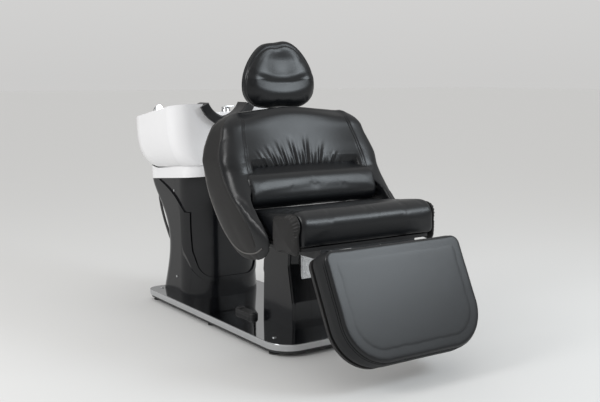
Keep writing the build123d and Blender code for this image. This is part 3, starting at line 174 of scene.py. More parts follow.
foot_rubber = finish("foot_rubber", (0.02, 0.02, 0.02), 0.7)
relief(foot_rubber, (speckle(foot_rubber, 1500.0), 0.0002, 0.4))
tinted(foot_rubber, speckle(foot_rubber, 60.0), (0.014, 0.014, 0.014), (0.03, 0.03, 0.029))
dressed(foot_rubber, "levelling_feet")

zinc = finish("zinc", (0.60, 0.61, 0.62), 0.3, 1.0)
worn(zinc, speckle(zinc, 150.0, 5.0), 0.22, 0.42)
tinted(zinc, speckle(zinc, 90.0, 4.0), (0.5, 0.51, 0.52), (0.68, 0.69, 0.7))
relief(zinc, (speckle(zinc, 400.0), 0.0001, 0.15))
dressed(zinc, "cover_caps")

# Basin pedestal
# Two moulded black shells clasp a square steel post, and a rib in relief runs along their joint.
# The plastic is deep gloss with the faint waves of a large moulding. Four screws hold the halves.
gloss_black = finish("gloss_black", (0.006, 0.0065, 0.008), 0.12, Specular_IOR_Level=0.36)
worn(gloss_black, speckle(gloss_black, 9.0, 6.0), 0.1, 0.2)
relief(gloss_black, (speckle(gloss_black, 14.0), 0.002, 0.08), (speckle(gloss_black, 700.0), 0.00005, 0.1))
tinted(gloss_black, speckle(gloss_black, 4.0), (0.0045, 0.005, 0.006), (0.008, 0.0085, 0.010))
dressed(gloss_black, "pedestal_front_shell", "pedestal_rear_shell", "pedestal_rib")
dressed(zinc, "pedestal_screws", "pedestal_post")

# Basin
# A glazed ceramic bowl with its apron and chrome fittings, drained through a pierced strainer
# and a plastic waste. The grey box inside the pedestal holds the controls of the drive.
glaze = finish("glaze", (0.83, 0.83, 0.845), 0.08, Coat_Weight=0.6, Coat_Roughness=0.03)
relief(glaze, (speckle(glaze, 9.0), 0.0015, 0.06))
tinted(glaze, speckle(glaze, 3.0), (0.81, 0.81, 0.825), (0.85, 0.85, 0.862))
worn(glaze, speckle(glaze, 12.0), 0.06, 0.12)
dressed(glaze, "basin", "basin_apron")

chrome = finish("chrome", (0.78, 0.79, 0.80), 0.06, 1.0)
worn(chrome, speckle(chrome, 70.0, 5.0), 0.04, 0.1)
relief(chrome, (speckle(chrome, 60.0), 0.0003, 0.05))
dressed(chrome, "drain_strainer", "mixer_body", "mixer_dome", "mixer_lever", "handset_socket", "handset")

grey_plastic = finish("grey_plastic", (0.28, 0.285, 0.29), 0.5)
relief(grey_plastic, (speckle(grey_plastic, 1200.0), 0.0001, 0.3))
tinted(grey_plastic, speckle(grey_plastic, 20.0), (0.26, 0.265, 0.27), (0.31, 0.315, 0.32))
worn(grey_plastic, speckle(grey_plastic, 50.0), 0.44, 0.56)
dressed(grey_plastic, "waste_pipe", "control_box")


# Neck rest
# A soft black pad pushed over the notch of the basin.
# It is moulded in one piece, with the fine grain of its mould.
def pores(material, scale, feature="F1"):
    """The cells of grained leather or moulded texture, so many to the metre."""
    cells = node(material, "ShaderNodeTexVoronoi", Scale=scale, feature=feature)
    link(material, places(material), cells.inputs["Vector"])
    return cells.outputs["Distance"]


neck_rubber = finish("neck_rubber", (0.010, 0.010, 0.011), 0.38)
relief(neck_rubber, (pores(neck_rubber, 1100.0), 0.0002, 0.25), (speckle(neck_rubber, 30.0), 0.001, 0.1))
worn(neck_rubber, speckle(neck_rubber, 25.0), 0.3, 0.46)
tinted(neck_rubber, speckle(neck_rubber, 18.0), (0.008, 0.008, 0.009), (0.015, 0.015, 0.016))
dressed(neck_rubber, "neck_rest")

# Shower hose
# A black rubber hose that hangs from the gland under the basin's deck and enters the pedestal lower down.
# A tapered and ribbed rubber sleeve keeps it from kinking at each gland.
hose_rubber = finish("hose_rubber", (0.012, 0.012, 0.013), 0.35)
hose_grain = speckle(hose_rubber, 500.0, 3.0)
relief(hose_rubber, (hose_grain, 0.0002, 0.3), (speckle(hose_rubber, 60.0), 0.0008, 0.15))
worn(hose_rubber, speckle(hose_rubber, 30.0), 0.28, 0.45)
tinted(hose_rubber, speckle(hose_rubber, 25.0), (0.009, 0.009, 0.010), (0.018, 0.018, 0.019))
hose_width = 0.012
hose_side = -0.110
hose_points = (
    (0.864, 0.604), (0.868, 0.546), (0.865, 0.482), (0.849, 0.417),
    (0.819, 0.358), (0.780, 0.302), (0.738, 0.250), (0.704, 0.213),
)


def lay_line(name, points, thick, facets, material):
    """A round cord whose smooth line is pulled along by its points."""
    curve = bpy.data.curves.new(name, "CURVE")
    curve.dimensions = "3D"
    line = curve.splines.new("NURBS")
    line.points.add(len(points) - 1)
    for place, point in zip(line.points, points):
        place.co = (*point, 1.0)
    line.order_u = 3
    line.use_endpoint_u = True
    line.resolution_u = 12
    curve.bevel_depth = thick
    curve.bevel_resolution = facets
    curve.use_fill_caps = True
    curve.materials.append(material)
    piece = bpy.data.objects.new(name, curve)
    bpy.context.scene.collection.objects.link(piece)
    return piece


hose_route = [(hose_side, y, z) for y, z in hose_points]
hose = lay_line("hose", hose_route, hose_width / 2, 6, hose_rubber)
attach(hose, "root")
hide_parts("shower_hose")


def turned(name, start, way, profile, sides=28):
    """A round piece on an axis; profile lists how far along and how far out each ring lies."""
    mesh = bmesh.new()
    start = Vector(start)
    turn = Vector(way).normalized().to_track_quat("Z", "Y")
    rings = []
    for along, out in profile:
        ring = []
        for i in range(sides):
            a = 2 * math.pi * i / sides
            ring.append(mesh.verts.new(start + turn @ Vector((out * math.cos(a), out * math.sin(a), along))))
        rings.append(ring)
    for low, high in zip(rings, rings[1:]):
        for i in range(sides):
            j = (i + 1) % sides
            mesh.faces.new((low[i], low[j], high[j], high[i]))
    mesh.faces.new(tuple(reversed(rings[0])))
    mesh.faces.new(rings[-1])
    data = bpy.data.meshes.new(name)
    mesh.to_mesh(data)
    mesh.free()
    data.shade_smooth()
    piece = bpy.data.objects.new(name, data)
    bpy.context.scene.collection.objects.link(piece)
    return piece


sleeve_profile = (
    (0.0, 0.0098), (0.003, 0.0100), (0.006, 0.0092), (0.009, 0.0096), (0.012, 0.0086), (0.015, 0.0090),
    (0.018, 0.0080), (0.021, 0.0083), (0.024, 0.0074), (0.027, 0.0076), (0.030, 0.0068), (0.031, 0.0062),
)
for label, place, ahead in (
    ("upper_sleeve", hose_points[0], hose_points[1]),
    ("lower_sleeve", hose_points[-1], hose_points[-2]),
):
    way = (0.0, ahead[0] - place[0], ahead[1] - place[1])
    sleeve = turned(label, (hose_side, *place), way, sleeve_profile)
    sleeve.data.materials.append(hose_rubber)
    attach(sleeve, "root")
dressed(hose_rubber, "hose_gland_upper", "hose_gland_lower")

# Chair column and foot switch
# Two glossy shroud halves meet on a crease in front of the steel post that carries the seat.
# The foot switch beside it has two sprung pads in a low moulded case.
dressed(gloss_black, "column_left_shell", "column_right_shell")
dressed(zinc, "column_post")
switch_plastic = finish("switch_plastic", (0.014, 0.014, 0.015), 0.42)
relief(switch_plastic, (speckle(switch_plastic, 1300.0), 0.0002, 0.35))
tinted(switch_plastic, speckle(switch_plastic, 40.0), (0.011, 0.011, 0.012), (0.02, 0.02, 0.021))
worn(switch_plastic, speckle(switch_plastic, 60.0), 0.36, 0.5)
dressed(switch_plastic, "foot_switch", "foot_pad_front", "foot_pad_rear")

# Seat frame and recline drive
# A painted steel frame carries the boards that the pads are fixed to; their near black colour is painted
# shade, so the gap under the seat reads dark.
# A motor and its rod push the crank of the shaft that the back turns on; the shafts and pins are zinc plated.
dressed(frame_paint, "seat_frame", "recline_actuator", "backrest_arms", "legrest_arms", "headrest_guide")
dressed(zinc, "actuator_rod", "back_shaft", "headrest_bar", "headrest_plate", "headrest_pin", "legrest_pins")

along_board = (0.1, 1.0, 1.0)
# Near black as painted shade for the gap under the seat; the streaks along the boards are their grain.
board_painted_shade = finish("board_painted_shade", (0.012, 0.012, 0.013), 0.6)
board_streaks = speckle(board_painted_shade, 30.0, 3.0, along_board)
tinted(board_painted_shade, board_streaks, (0.009, 0.009, 0.010), (0.018, 0.017, 0.017))
relief(board_painted_shade, (speckle(board_painted_shade, 300.0, 3.0, along_board), 0.0003, 0.3))
worn(board_painted_shade, speckle(board_painted_shade, 45.0), 0.5, 0.68)
dressed(board_painted_shade, "seat_board", "backrest_board", "legrest_board")


# Seat cushion
# Foam on a board under black leather, with a full front roll across the whole width.
# Each end is closed by a puffed square of charcoal leather, gathered along its seam.
leather_grain = 850.0
pad_voxel = 0.006
foam_pressure = 4.0


def leather(name, dark, light, roughness):
    """Coated hide with fine pores, soft stretch marks and a satin top coat."""
    hide = finish(name, dark, roughness, Specular_IOR_Level=0.42)
    tinted(hide, speckle(hide, 5.0, 3.0), dark, light)
    relief(
        hide,
        (speckle(hide, 11.0, 3.0), 0.006, 0.05),
        (pores(hide, leather_grain, "SMOOTH_F1"), 0.0004, 0.16),
        (speckle(hide, 2600.0), 0.0001, 0.15),
    )
    return hide


pad_leather = leather("pad_leather", (0.0030, 0.0036, 0.0046), (0.0046, 0.0054, 0.0066), 0.31)
worn(pad_leather, speckle(pad_leather, 7.0, 3.0), 0.31, 0.37)
side_leather = leather("side_leather", (0.0075, 0.0070, 0.0070), (0.0100, 0.0094, 0.0092), 0.50)
worn(side_leather, speckle(side_leather, 7.0, 3.0), 0.50, 0.58)


def covered(name, parts, voxel, ease):
    """One even skin over copies of CAD solids, with its corners eased by so many smoothing rounds."""
    mesh = bmesh.new()
    for part in parts:
        mesh.from_mesh(nodes[part].data)
    bmesh.ops.remove_doubles(mesh, verts=mesh.verts, dist=0.00002)
    data = bpy.data.meshes.new(name)
    mesh.to_mesh(data)
    mesh.free()
    piece = bpy.data.objects.new(name, data)
    bpy.context.scene.collection.objects.link(piece)
    skin = piece.modifiers.new("skin", "REMESH")
    skin.mode = "VOXEL"
    skin.voxel_size = voxel
    return smoothed(piece, ease)


def smoothed(piece, rounds, group=""):
    """Evens a skin out, all over or where a vertex group says."""
    soft = piece.modifiers.new("soft", "SMOOTH")
    soft.factor = 0.5
    soft.iterations = rounds
    soft.vertex_group = group
    return settled(piece)


def settled(piece):
    """Applies a piece's modifiers."""
    bpy.context.view_layer.update()
    graph = bpy.context.evaluated_depsgraph_get()
    made = bpy.data.meshes.new_from_object(piece.evaluated_get(graph))
    piece.modifiers.clear()
    piece.data = made
    return piece


def skin_points(piece):
    """The places and outward directions of a skin's points."""
    count = len(piece.data.vertices)
    place = np.empty(count * 3, np.float32)
    out = np.empty(count * 3, np.float32)
    piece.data.vertices.foreach_get("co", place)
    piece.data.vertices.foreach_get("normal", out)
    return place.reshape(-1, 3), out.reshape(-1, 3)


def set_points(piece, place):
    piece.data.vertices.foreach_set("co", place.astype(np.float32).ravel())
    piece.data.update()


def grown(value, span=1.0):
    """How far value has gone along span: 0 before its start, 1 past its end."""
    return np.clip(value / span, 0.0, 1.0)


def filled(piece, reach):
    """The foam pushes the cover out, by no more than reach; then its faces are halved for seams and tucks."""
    scene = bpy.context.scene
    start = skin_points(piece)[0].copy()
    cloth = piece.modifiers.new("filling", "CLOTH")
    cloth.settings.quality = 4
    cloth.settings.use_pressure = True
    cloth.settings.uniform_pressure_force = foam_pressure
    cloth.settings.effector_weights.gravity = 0.0
    cloth.collision_settings.use_collision = False
    for step in range(1, 21):
        scene.frame_set(step)
    graph = bpy.context.evaluated_depsgraph_get()
    swollen = piece.evaluated_get(graph).to_mesh()
    end = np.empty(len(swollen.vertices) * 3, np.float32)
    swollen.vertices.foreach_get("co", end)
    piece.modifiers.clear()
    scene.frame_set(1)
    move = end.reshape(-1, 3) - start
    far = np.linalg.norm(move, axis=1, keepdims=True)
    set_points(piece, start + move * np.minimum(1.0, reach / np.maximum(far, 1e-9)))
    piece.modifiers.new("finer", "SUBSURF").levels = 1
    settled(piece)
    piece.data.shade_smooth()
    return piece


def sewn(piece, hide, body, slot, *parts):
    """Leather on a soft piece, which rides on its body and stands for its CAD solids."""
    piece.data.materials.clear()
    piece.data.materials.append(hide)
    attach(piece, body)
    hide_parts(*parts)
    return piece


lip_front = -0.603
lip_front_run = 0.006
lip_top = 0.456
lip_top_run = 0.022
lip_half_width = 0.288
lip_drop = 0.021
seat = covered("seat_pad", ["seat_cushion"], pad_voxel, 4)
filled(seat, 0.005)
place = skin_points(seat)[0]
lip = grown(lip_front - place[:, 1], lip_front_run) * grown(lip_top - place[:, 2], lip_top_run)
place[:, 2] -= lip_drop * lip * (np.abs(place[:, 0]) < lip_half_width)
set_points(seat, place)
sewn(seat, pad_leather, "root", "pad_leather", "seat_cushion")

end_crown = 0.013
end_gathers = 40.0
gather_depth = 0.0022
gather_start = 0.60
gather_run = 0.3
for hand, side in (("right", -1), ("left", 1)):
    end = covered("seat_end_" + hand, ["seat_panel_" + hand], 0.003, 6)
    filled(end, 0.005)
    place, out = skin_points(end)
    low, high = place.min(0), place.max(0)
    across = (place[:, 1] - low[1]) / (high[1] - low[1]) * 2 - 1
    up = (place[:, 2] - low[2]) / (high[2] - low[2]) * 2 - 1
    face = grown(out[:, 0] * side)
    rim = grown(np.maximum(np.abs(across), np.abs(up)))
    corner = np.clip(0.55 * (up - across), 0.12, 1.0)
    waves = np.sin(np.arctan2(up, across) * end_gathers)
    gather = gather_depth * corner * waves * grown(rim - gather_start, gather_run) * face
    crown = end_crown * (1 - rim ** 2.2) * face
    place[:, 0] += side * (crown + gather)
    set_points(end, place)
    sewn(end, side_leather, "root", "side_leather", "seat_panel_" + hand)

# Backrest
# A board carries the centre pad and two wings that reach down beside the seat. One leather cover
# runs over pad and wings, stretched tight between them, and is gathered in pleats above the lumbar roll.
joint_side = 0.243
joint_width = 0.032
joint_foot = 0.652
top_foot = 0.825
top_run = 0.04
corner_height = 0.650
corner_reach = 0.035
corner_side = 0.245
back_parts = ["backrest_cushion", "wing_left", "wing_right", "wing_panel_left", "wing_panel_right"]
back = covered("back_cover", back_parts, pad_voxel, 8)
place, out = skin_points(back)
joint = back.vertex_groups.new(name="joint")


def grouped(group, weights):
    """Puts the points that have a weight in a vertex group."""
    for i in np.nonzero(weights > 0.02)[0]:
        group.add([int(i)], float(weights[i]), "REPLACE")


for side in (-1, 1):
    beside = np.exp(-((place[:, 0] * side - joint_side) / joint_width) ** 2)
    grouped(joint, beside * grown(place[:, 2] - joint_foot, 0.03) * grown(-out[:, 1] * 3))
top = grown(place[:, 2] - top_foot, top_run)
corner = np.exp(-((place[:, 2] - corner_height) / corner_reach) ** 2)
grouped(joint, np.maximum(top, corner * grown(np.abs(place[:, 0]) - corner_side, 0.02)))
smoothed(back, 70, "joint")
filled(back, 0.0035)


def skin_tree(piece):
    corners = [v.co for v in piece.data.vertices]
    return BVHTree.FromPolygons(corners, [p.vertices for p in piece.data.polygons])


tight_foot = 0.650
tight_top = 0.872
tight_half_width = 0.300
tight_front = -0.075
back_tree = skin_tree(back)
columns = np.linspace(-0.345, 0.345, 116)
rows = np.linspace(0.664, 0.910, 42)
taut = np.zeros((len(rows), len(columns)))
for i, z in enumerate(rows):
    for j, x in enumerate(columns):
        hit = back_tree.ray_cast(Vector((x, -1.0, z)), Vector((0.0, 1.0, 0.0)))
        taut[i, j] = hit[0].y if hit[0] else 0.0
for _ in range(70):
    spread = np.pad(taut, ((0, 0), (3, 3)), "edge")
    taut = np.minimum(taut, sum(spread[:, k:k + len(columns)] for k in range(7)) / 7)
for _ in range(4):
    spread = np.pad(taut, ((1, 1), (1, 1)), "edge")
    taut = (spread[:-2, 1:-1] + spread[2:, 1:-1] + spread[1:-1, :-2] + spread[1:-1, 2:] + 2 * taut) / 6
place, out = skin_points(back)
front = (place[:, 1] < tight_front) & (place[:, 2] > tight_foot) & (np.abs(place[:, 0]) < tight_half_width)
spot = place[front]
across = np.clip((spot[:, 0] - columns[0]) / (columns[1] - columns[0]), 0, len(columns) - 1.001)
upward = np.clip((spot[:, 2] - rows[0]) / (rows[1] - rows[0]), 0, len(rows) - 1.001)
i, j = upward.astype(int), across.astype(int)
u, v = upward - i, across - j
lower = (1 - v) * taut[i, j] + v * taut[i, j + 1]
upper = (1 - v) * taut[i + 1, j] + v * taut[i + 1, j + 1]
pull = (1 - u) * lower + u * upper - spot[:, 1]
near = grown(tight_half_width - np.abs(spot[:, 0]), 0.025) * grown(spot[:, 2] - tight_foot, 0.06)
near *= grown(tight_top - spot[:, 2], 0.02)
place[front, 1] += pull * near * (pull > -0.06)

arch_height = 0.019
arch_half_width = 0.27
arch_foot = 0.72
arch_run = 0.13
arch = arch_height * np.cos(grown(np.abs(place[:, 0]), arch_half_width) * math.pi / 2) ** 2
place[:, 2] += arch * grown(place[:, 2] - arch_foot, arch_run)
set_points(back, place)
smoothed(back, 14, "joint")

# Each pleat: where it stands across the pad, how high it reaches, its lean in degrees, its share of the depth
pleats = (
    (-0.186, 0.052, -27, 0.6), (-0.160, 0.084, -23, 0.9), (-0.141, 0.046, -17, 0.5),
    (-0.116, 0.104, -16, 1.0), (-0.096, 0.066, -9, 0.7), (-0.070, 0.128, -10, 1.1),
    (-0.049, 0.058, -3, 0.6), (-0.024, 0.142, -5, 1.1), (0.001, 0.086, 2, 0.8),
    (0.026, 0.150, 3, 1.2), (0.050, 0.074, 9, 0.7), (0.076, 0.112, 12, 1.0),
    (0.102, 0.050, 17, 0.6), (0.130, 0.068, 22, 0.8), (0.160, 0.040, 27, 0.5),
)
pleat_foot = np.array((0.0, -0.190, 0.6585))
pleat_rise = np.array(Vector((0.0, 0.092, 0.2315)).normalized())
pleat_depth = 0.0080
pleat_width = 0.0040
pleat_widening = 0.055
ridge_height = 0.0026
ridge_away = 1.9
pucker_depth = 0.0014
pucker_reach = 0.013
pucker_half_width = 0.225
place, out = skin_points(back)
front = (out[:, 1] < -0.2) & (np.abs(place[:, 0]) < 0.24) & (place[:, 2] > 0.64)
spot = place[front]
up = (spot - pleat_foot) @ pleat_rise
drop = np.zeros(len(spot))
for foot, reach, lean, deep in pleats:
    middle = foot + up * math.tan(math.radians(lean)) * (1 + 2.0 * up)
    fade = deep * grown(1 - up / reach) ** 1.25 * grown(up / 0.004 + 1.0)
    away = (spot[:, 0] - middle) / (pleat_width + pleat_widening * grown(up))
    ridge = ridge_height * np.exp(-((np.abs(away) - ridge_away) ** 2))
    drop += fade * (pleat_depth * np.exp(-(away ** 2)) - ridge)
pucker = np.sin(spot[:, 0] * 640.0 + 2.0 * np.sin(spot[:, 0] * 71.0)) * np.exp(-grown(up) / pucker_reach)
drop += pucker_depth * pucker * grown(pucker_half_width - np.abs(spot[:, 0]), 0.03)
spot[:, 1] += drop
place[front] = spot
set_points(back, place)


def drawn_in(piece, line, width, depth):
    """A seam pulls the cover in along a line."""
    place, out = skin_points(piece)
    line = np.array(line, np.float32)
    near = np.all((place > line.min(0) - 4 * width) & (place < line.max(0) + 4 * width), axis=1)
    spot = place[near]
    far = np.full(len(spot), 1e9, np.float32)
    for a, b in zip(line, line[1:]):
        along = np.clip((spot - a) @ (b - a) / max(float((b - a) @ (b - a)), 1e-12), 0.0, 1.0)[:, None]
        far = np.minimum(far, np.linalg.norm(spot - a - along * (b - a), axis=1))
    place[near] = spot - out[near] * (depth * np.exp(-((far / width) ** 2)))[:, None]
    set_points(piece, place)


def on_skin(tree, points, way):
    """Where rays along a direction meet the skin."""
    way = Vector(way).normalized()
    hits = [tree.ray_cast(Vector(point) - way, way)[0] for point in points]
    return [hit for hit in hits if hit]


def even_line(points, step=0.012):
    """Points at an even step on straight runs between the given ones."""
    made = []
    for a, b in zip(points, points[1:]):
        a, b = Vector(a), Vector(b)
        count = max(1, round((b - a).length / step))
        made += [a.lerp(b, i / count) for i in range(count)]
    return made + [Vector(points[-1])]


double_seam = ((0.266, 0.650), (0.262, 0.71), (0.253, 0.78), (0.238, 0.85))
stitch_gap = 0.004
stitch_width = 0.0022
stitch_depth = 0.0022
panel_front = (
    (-0.100, 0.872), (-0.128, 0.832), (-0.142, 0.790), (-0.147, 0.738), (-0.167, 0.686), (-0.207, 0.629),
    (-0.253, 0.580), (-0.298, 0.545), (-0.336, 0.504), (-0.362, 0.462), (-0.376, 0.425), (-0.384, 0.360),
)
panel_seam_width = 0.0035
panel_seam_depth = 0.003
back_tree = skin_tree(back)
for side in (-1, 1):
    for shift in (-stitch_gap, stitch_gap):
        seam = even_line([(side * (x + shift), 0.0, z) for x, z in double_seam])
        drawn_in(back, on_skin(back_tree, seam, (0, 1, 0)), stitch_width, stitch_depth)
for side in (-1, 1):
    seam = even_line([(0.0, y, z) for y, z in panel_front[1:-1]])
    drawn_in(back, on_skin(back_tree, seam, (-side, 0, 0)), panel_seam_width, panel_seam_depth)


def parted(piece, name, chosen):
    """Takes the chosen faces off a cover as a piece of their own."""
    rest = bmesh.new()
    rest.from_mesh(piece.data)
    taken = rest.copy()
    rest.faces.ensure_lookup_table()
    taken.faces.ensure_lookup_table()
    bmesh.ops.delete(rest, geom=[f for f, c in zip(rest.faces, chosen) if c], context="FACES")
    bmesh.ops.delete(taken, geom=[f for f, c in zip(taken.faces, chosen) if not c], context="FACES")
    rest.to_mesh(piece.data)
    data = bpy.data.meshes.new(name)
    taken.to_mesh(data)
    rest.free()
    taken.free()
    data.shade_smooth()
    panel = bpy.data.objects.new(name, data)
    bpy.context.scene.collection.objects.link(panel)
    return panel


# The charcoal panel of each side is the part of the cover that lies behind the seam and looks outwards
heights = np.array([z for y, z in reversed(panel_front)])
borders = np.array([y for y, z in reversed(panel_front)])
panel_inner = 0.27
for hand, side in (("right", -1), ("left", 1)):
    middle = np.empty(len(back.data.polygons) * 3, np.float32)
    facing = np.empty(len(back.data.polygons) * 3, np.float32)
    back.data.polygons.foreach_get("center", middle)
    back.data.polygons.foreach_get("normal", facing)
    middle, facing = middle.reshape(-1, 3), facing.reshape(-1, 3)
    behind_seam = middle[:, 1] > np.interp(middle[:, 2], heights, borders)
    outwards = (facing[:, 0] * side > 0.22) & (facing[:, 1] < 0.72)
    panel = parted(back, "back_side_" + hand, (middle[:, 0] * side > panel_inner) & behind_seam & outwards)
    sewn(panel, side_leather, "backrest", "side_leather", "wing_panel_" + hand)
sewn(back, pad_leather, "backrest", "pad_leather", "backrest_cushion", "wing_left", "wing_right")

# A welt is sewn into the rear seam, up the edge of one side, over the top and down the other. Its pale colour
# is partly painted highlight along that edge.
rim_line = (
    (-0.432, 0.40, 0.352), (-0.400, 0.374, 0.352), (-0.34, 0.359, 0.352), (-0.281, 0.357, 0.352),
    (-0.221, 0.376, 0.352), (-0.161, 0.420, 0.352), (-0.110, 0.471, 0.352), (-0.067, 0.531, 0.352),
    (-0.038, 0.587, 0.352), (-0.011, 0.662, 0.352), (0.0, 0.723, 0.350), (-0.006, 0.778, 0.338),
    (-0.024, 0.823, 0.320), (-0.042, 0.850, 0.298), (-0.055, 0.868, 0.262), (-0.062, 0.876, 0.22),
    (-0.066, 0.879, 0.15), (-0.067, 0.880, 0.08), (-0.067, 0.880, 0.0),
)
welt_inset = 0.022
welt_lift = 0.0008
# Pale partly as the welt's own tone and partly as a painted highlight along the rim of the back.
welt_tone_and_highlight = finish("welt_tone_and_highlight", (0.10, 0.097, 0.093), 0.42)
tinted(welt_tone_and_highlight, speckle(welt_tone_and_highlight, 90.0), (0.085, 0.082, 0.078), (0.125, 0.121, 0.116))
worn(welt_tone_and_highlight, speckle(welt_tone_and_highlight, 60.0), 0.36, 0.5)
relief(welt_tone_and_highlight, (speckle(welt_tone_and_highlight, 900.0), 0.0002, 0.3))


def piped(name, points, thick, hide, body, ring=True):
    """A thin welt, sewn into a seam that runs round in a ring or from end to end."""
    welt = lay_line(name, points, thick, 3, hide)
    welt.data.splines[0].use_cyclic_u = ring
    welt.data.splines[0].use_endpoint_u = not ring
    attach(welt, body)


half = []
for before, (y, z, x), after in zip(rim_line[:1] + rim_line, rim_line, rim_line[1:] + rim_line[-1:]):
    way = Vector((after[0] - before[0], after[1] - before[1]))
    way = way.normalized() if way.length > 0.004 else Vector((0.0, 1.0))
    on_side = min(max((x - 0.24) / 0.09, 0.0), 1.0)
    guess = Vector((x - 0.004, y - welt_inset * way.y, z + welt_inset * way.x)) * on_side
    guess += Vector((x, y - 0.008, z + 0.012)) * (1 - on_side)
    hit = back_tree.find_nearest(guess)
    half.append(hit[0] + hit[1] * welt_lift)
rim = [Vector((-p.x, p.y, p.z)) for p in half] + list(reversed(half[:-1]))
piped("back_welt", rim, 0.0024, welt_tone_and_highlight, "backrest", False)

# Lumbar roll and rear shell
# A separate foam roll fills the hollow between back and seat, in a leather cover of its own.
# The shell behind the back is one moulding with a fine grain.
roll_middle = 0.532
roll_widening = 1.21
roll_heightening = 1.17
roll = covered("lumbar_pad", ["lumbar_roll"], pad_voxel, 5)
filled(roll, 0.0025)
place = skin_points(roll)[0]
place[:, 0] *= roll_widening
place[:, 2] = roll_middle + (place[:, 2] - roll_middle) * roll_heightening
set_points(roll, place)
sewn(roll, pad_leather, "backrest", "pad_leather", "lumbar_roll")

shell_plastic = finish("shell_plastic", (0.013, 0.0135, 0.0145), 0.46)
relief(shell_plastic, (pores(shell_plastic, 1400.0), 0.0002, 0.3), (speckle(shell_plastic, 8.0), 0.002, 0.05))
worn(shell_plastic, speckle(shell_plastic, 14.0), 0.4, 0.52)
tinted(shell_plastic, speckle(shell_plastic, 7.0), (0.011, 0.0115, 0.0125), (0.017, 0.0175, 0.0185))
dressed(shell_plastic, "backrest_shell")

# Headrest
# An egg-shaped foam pad on a plate that tilts at the top of the height bar.
# The front is dished for the head, over a crease and a fuller roll for the neck.
head_foot = 0.888
head_height = 0.259
head_half_width = 0.163
face_front = -0.030
head = covered("head_pad", ["headrest_cushion"], 0.005, 4)
place, out = skin_points(head)
face = head.vertex_groups.new(name="face")
grouped(face, ((out[:, 1] < -0.55) & (place[:, 1] < face_front)).astype(float))
smoothed(head, 90, "face")
filled(head, 0.002)

# How far the front lies back from the plain pad, by share of its height: the neck roll, then the crease
crease_shares = (0.05, 0.14, 0.23, 0.39, 0.48)
crease_depths = (0.003, 0.000, -0.001, 0.0075, 0.0)
crease_sag = 0.16
crease_blur = (-0.024, -0.012, 0.0, 0.012, 0.024)
dish_foot = 0.44
dish_turn = 0.26
dish_ease = 0.09
dish_lean = 0.060
narrow_foot = 0.45
narrowing = 0.13
place, out = skin_points(head)
ahead = grown(-0.020 - place[:, 1], 0.02)
up = (place[:, 2] - head_foot) / head_height
wide = np.abs(place[:, 0]) / head_half_width
low = up - crease_sag * wide ** 2
crease = sum(np.interp(low + blur, crease_shares, crease_depths) for blur in crease_blur) / len(crease_blur)
tall = grown(up - dish_foot)
turned_back = dish_turn + dish_ease * (1 - np.exp(-(tall - dish_turn) / dish_ease))
dish = dish_lean * np.where(tall < dish_turn, tall, turned_back)
place[:, 1] += ahead * crease * np.exp(-((wide / 0.76) ** 4)) + dish * grown(-0.010 - place[:, 1], 0.044)
place[:, 0] *= 1 - narrowing * grown(up - narrow_foot, 0.55) ** 1.4
set_points(head, place)


def ring_on_skin(tree, middle, across, upward, count, reach):
    """A closed seam: where rays from all round, in one plane, meet the skin."""
    ring = []
    for i in range(count):
        a = 2 * math.pi * i / count
        way = across * math.cos(a) + upward * math.sin(a)
        ring.append(tree.ray_cast(middle + way * reach, -way))
    return ring


across_x = Vector((1.0, 0.0, 0.0))
head_seam_width = 0.0035
head_seam_depth = 0.0016
head_tree = skin_tree(head)
for y in (-0.030, -0.004):
    hits = ring_on_skin(head_tree, Vector((0.0, y, 1.015)), across_x, Vector((0.0, 0.0, 1.0)), 48, 0.5)
    ring = [hit[0] + hit[1] * 0.0004 for hit in hits]
    drawn_in(head, ring + ring[:1], head_seam_width, head_seam_depth)
piped("head_welt_rear", ring, 0.0016, pad_leather, "headrest")
sewn(head, pad_leather, "headrest", "pad_leather", "headrest_cushion")

# Legrest
# A thick pad on a board that hangs from the front of the seat frame, boxed all round.
# Its face is a shinier leather than the dull boxing, and two welted seams join them.
leg_lean = math.radians(26.5)
leg_out = Vector((0.0, -math.cos(leg_lean), math.sin(leg_lean)))
leg_down = Vector((0.0, -math.sin(leg_lean), -math.cos(leg_lean)))
leg_start = Vector((0.0, -0.640, 0.420))
leg_middle = leg_start + leg_down * 0.20
boxing_back = -0.838
boxing_front = -0.850
boxing_roughness = 0.62
face_roughness = 0.36
leg_leather = leather("leg_leather", (0.0032, 0.0038, 0.0048), (0.0050, 0.0058, 0.0070), face_roughness)
upright = node(leg_leather, "ShaderNodeMapping", vector_type="POINT", Rotation=(leg_lean, 0.0, 0.0))
boxing = node(leg_leather, "ShaderNodeSeparateXYZ")
link(leg_leather, places(leg_leather), upright.inputs["Vector"])
link(leg_leather, upright.outputs["Vector"], boxing.inputs["Vector"])
on_face = between(leg_leather, boxing.outputs["Y"], 1.0, 0.0, boxing_front, boxing_back)
dulled = between(leg_leather, on_face, boxing_roughness, face_roughness)
link(leg_leather, dulled, shader_input(leg_leather, "Roughness"))

crown_start = 0.068
crown_thick = 0.032
crown_power = 3.2
leg = covered("leg_pad", ["legrest_cushion"], pad_voxel, 2)
filled(leg, 0.0025)
place = skin_points(leg)[0]
thick = (place - np.array(leg_start)) @ np.array(leg_out)
fuller = crown_start + crown_thick * (1 - (1 - grown(thick - crown_start, crown_thick)) ** crown_power)
push = np.where(thick > crown_start, fuller - np.minimum(thick, crown_start + crown_thick), 0.0)
place += np.array(leg_out)[None, :] * push[:, None]
set_points(leg, place)
leg_tree = skin_tree(leg)
for out_from_board, width, deep in ((0.087, 0.0026, 0.0022), (0.079, 0.0022, 0.0014)):
    hits = ring_on_skin(leg_tree, leg_middle + leg_out * out_from_board, across_x, leg_down, 96, 0.7)
    ring = [hit[0] for hit in hits]
    drawn_in(leg, ring + ring[:1], width, deep)
    piped("leg_welt", ring, 0.0014, leg_leather, "legrest")
sewn(leg, leg_leather, "legrest", "legrest_leather", "legrest_cushion")

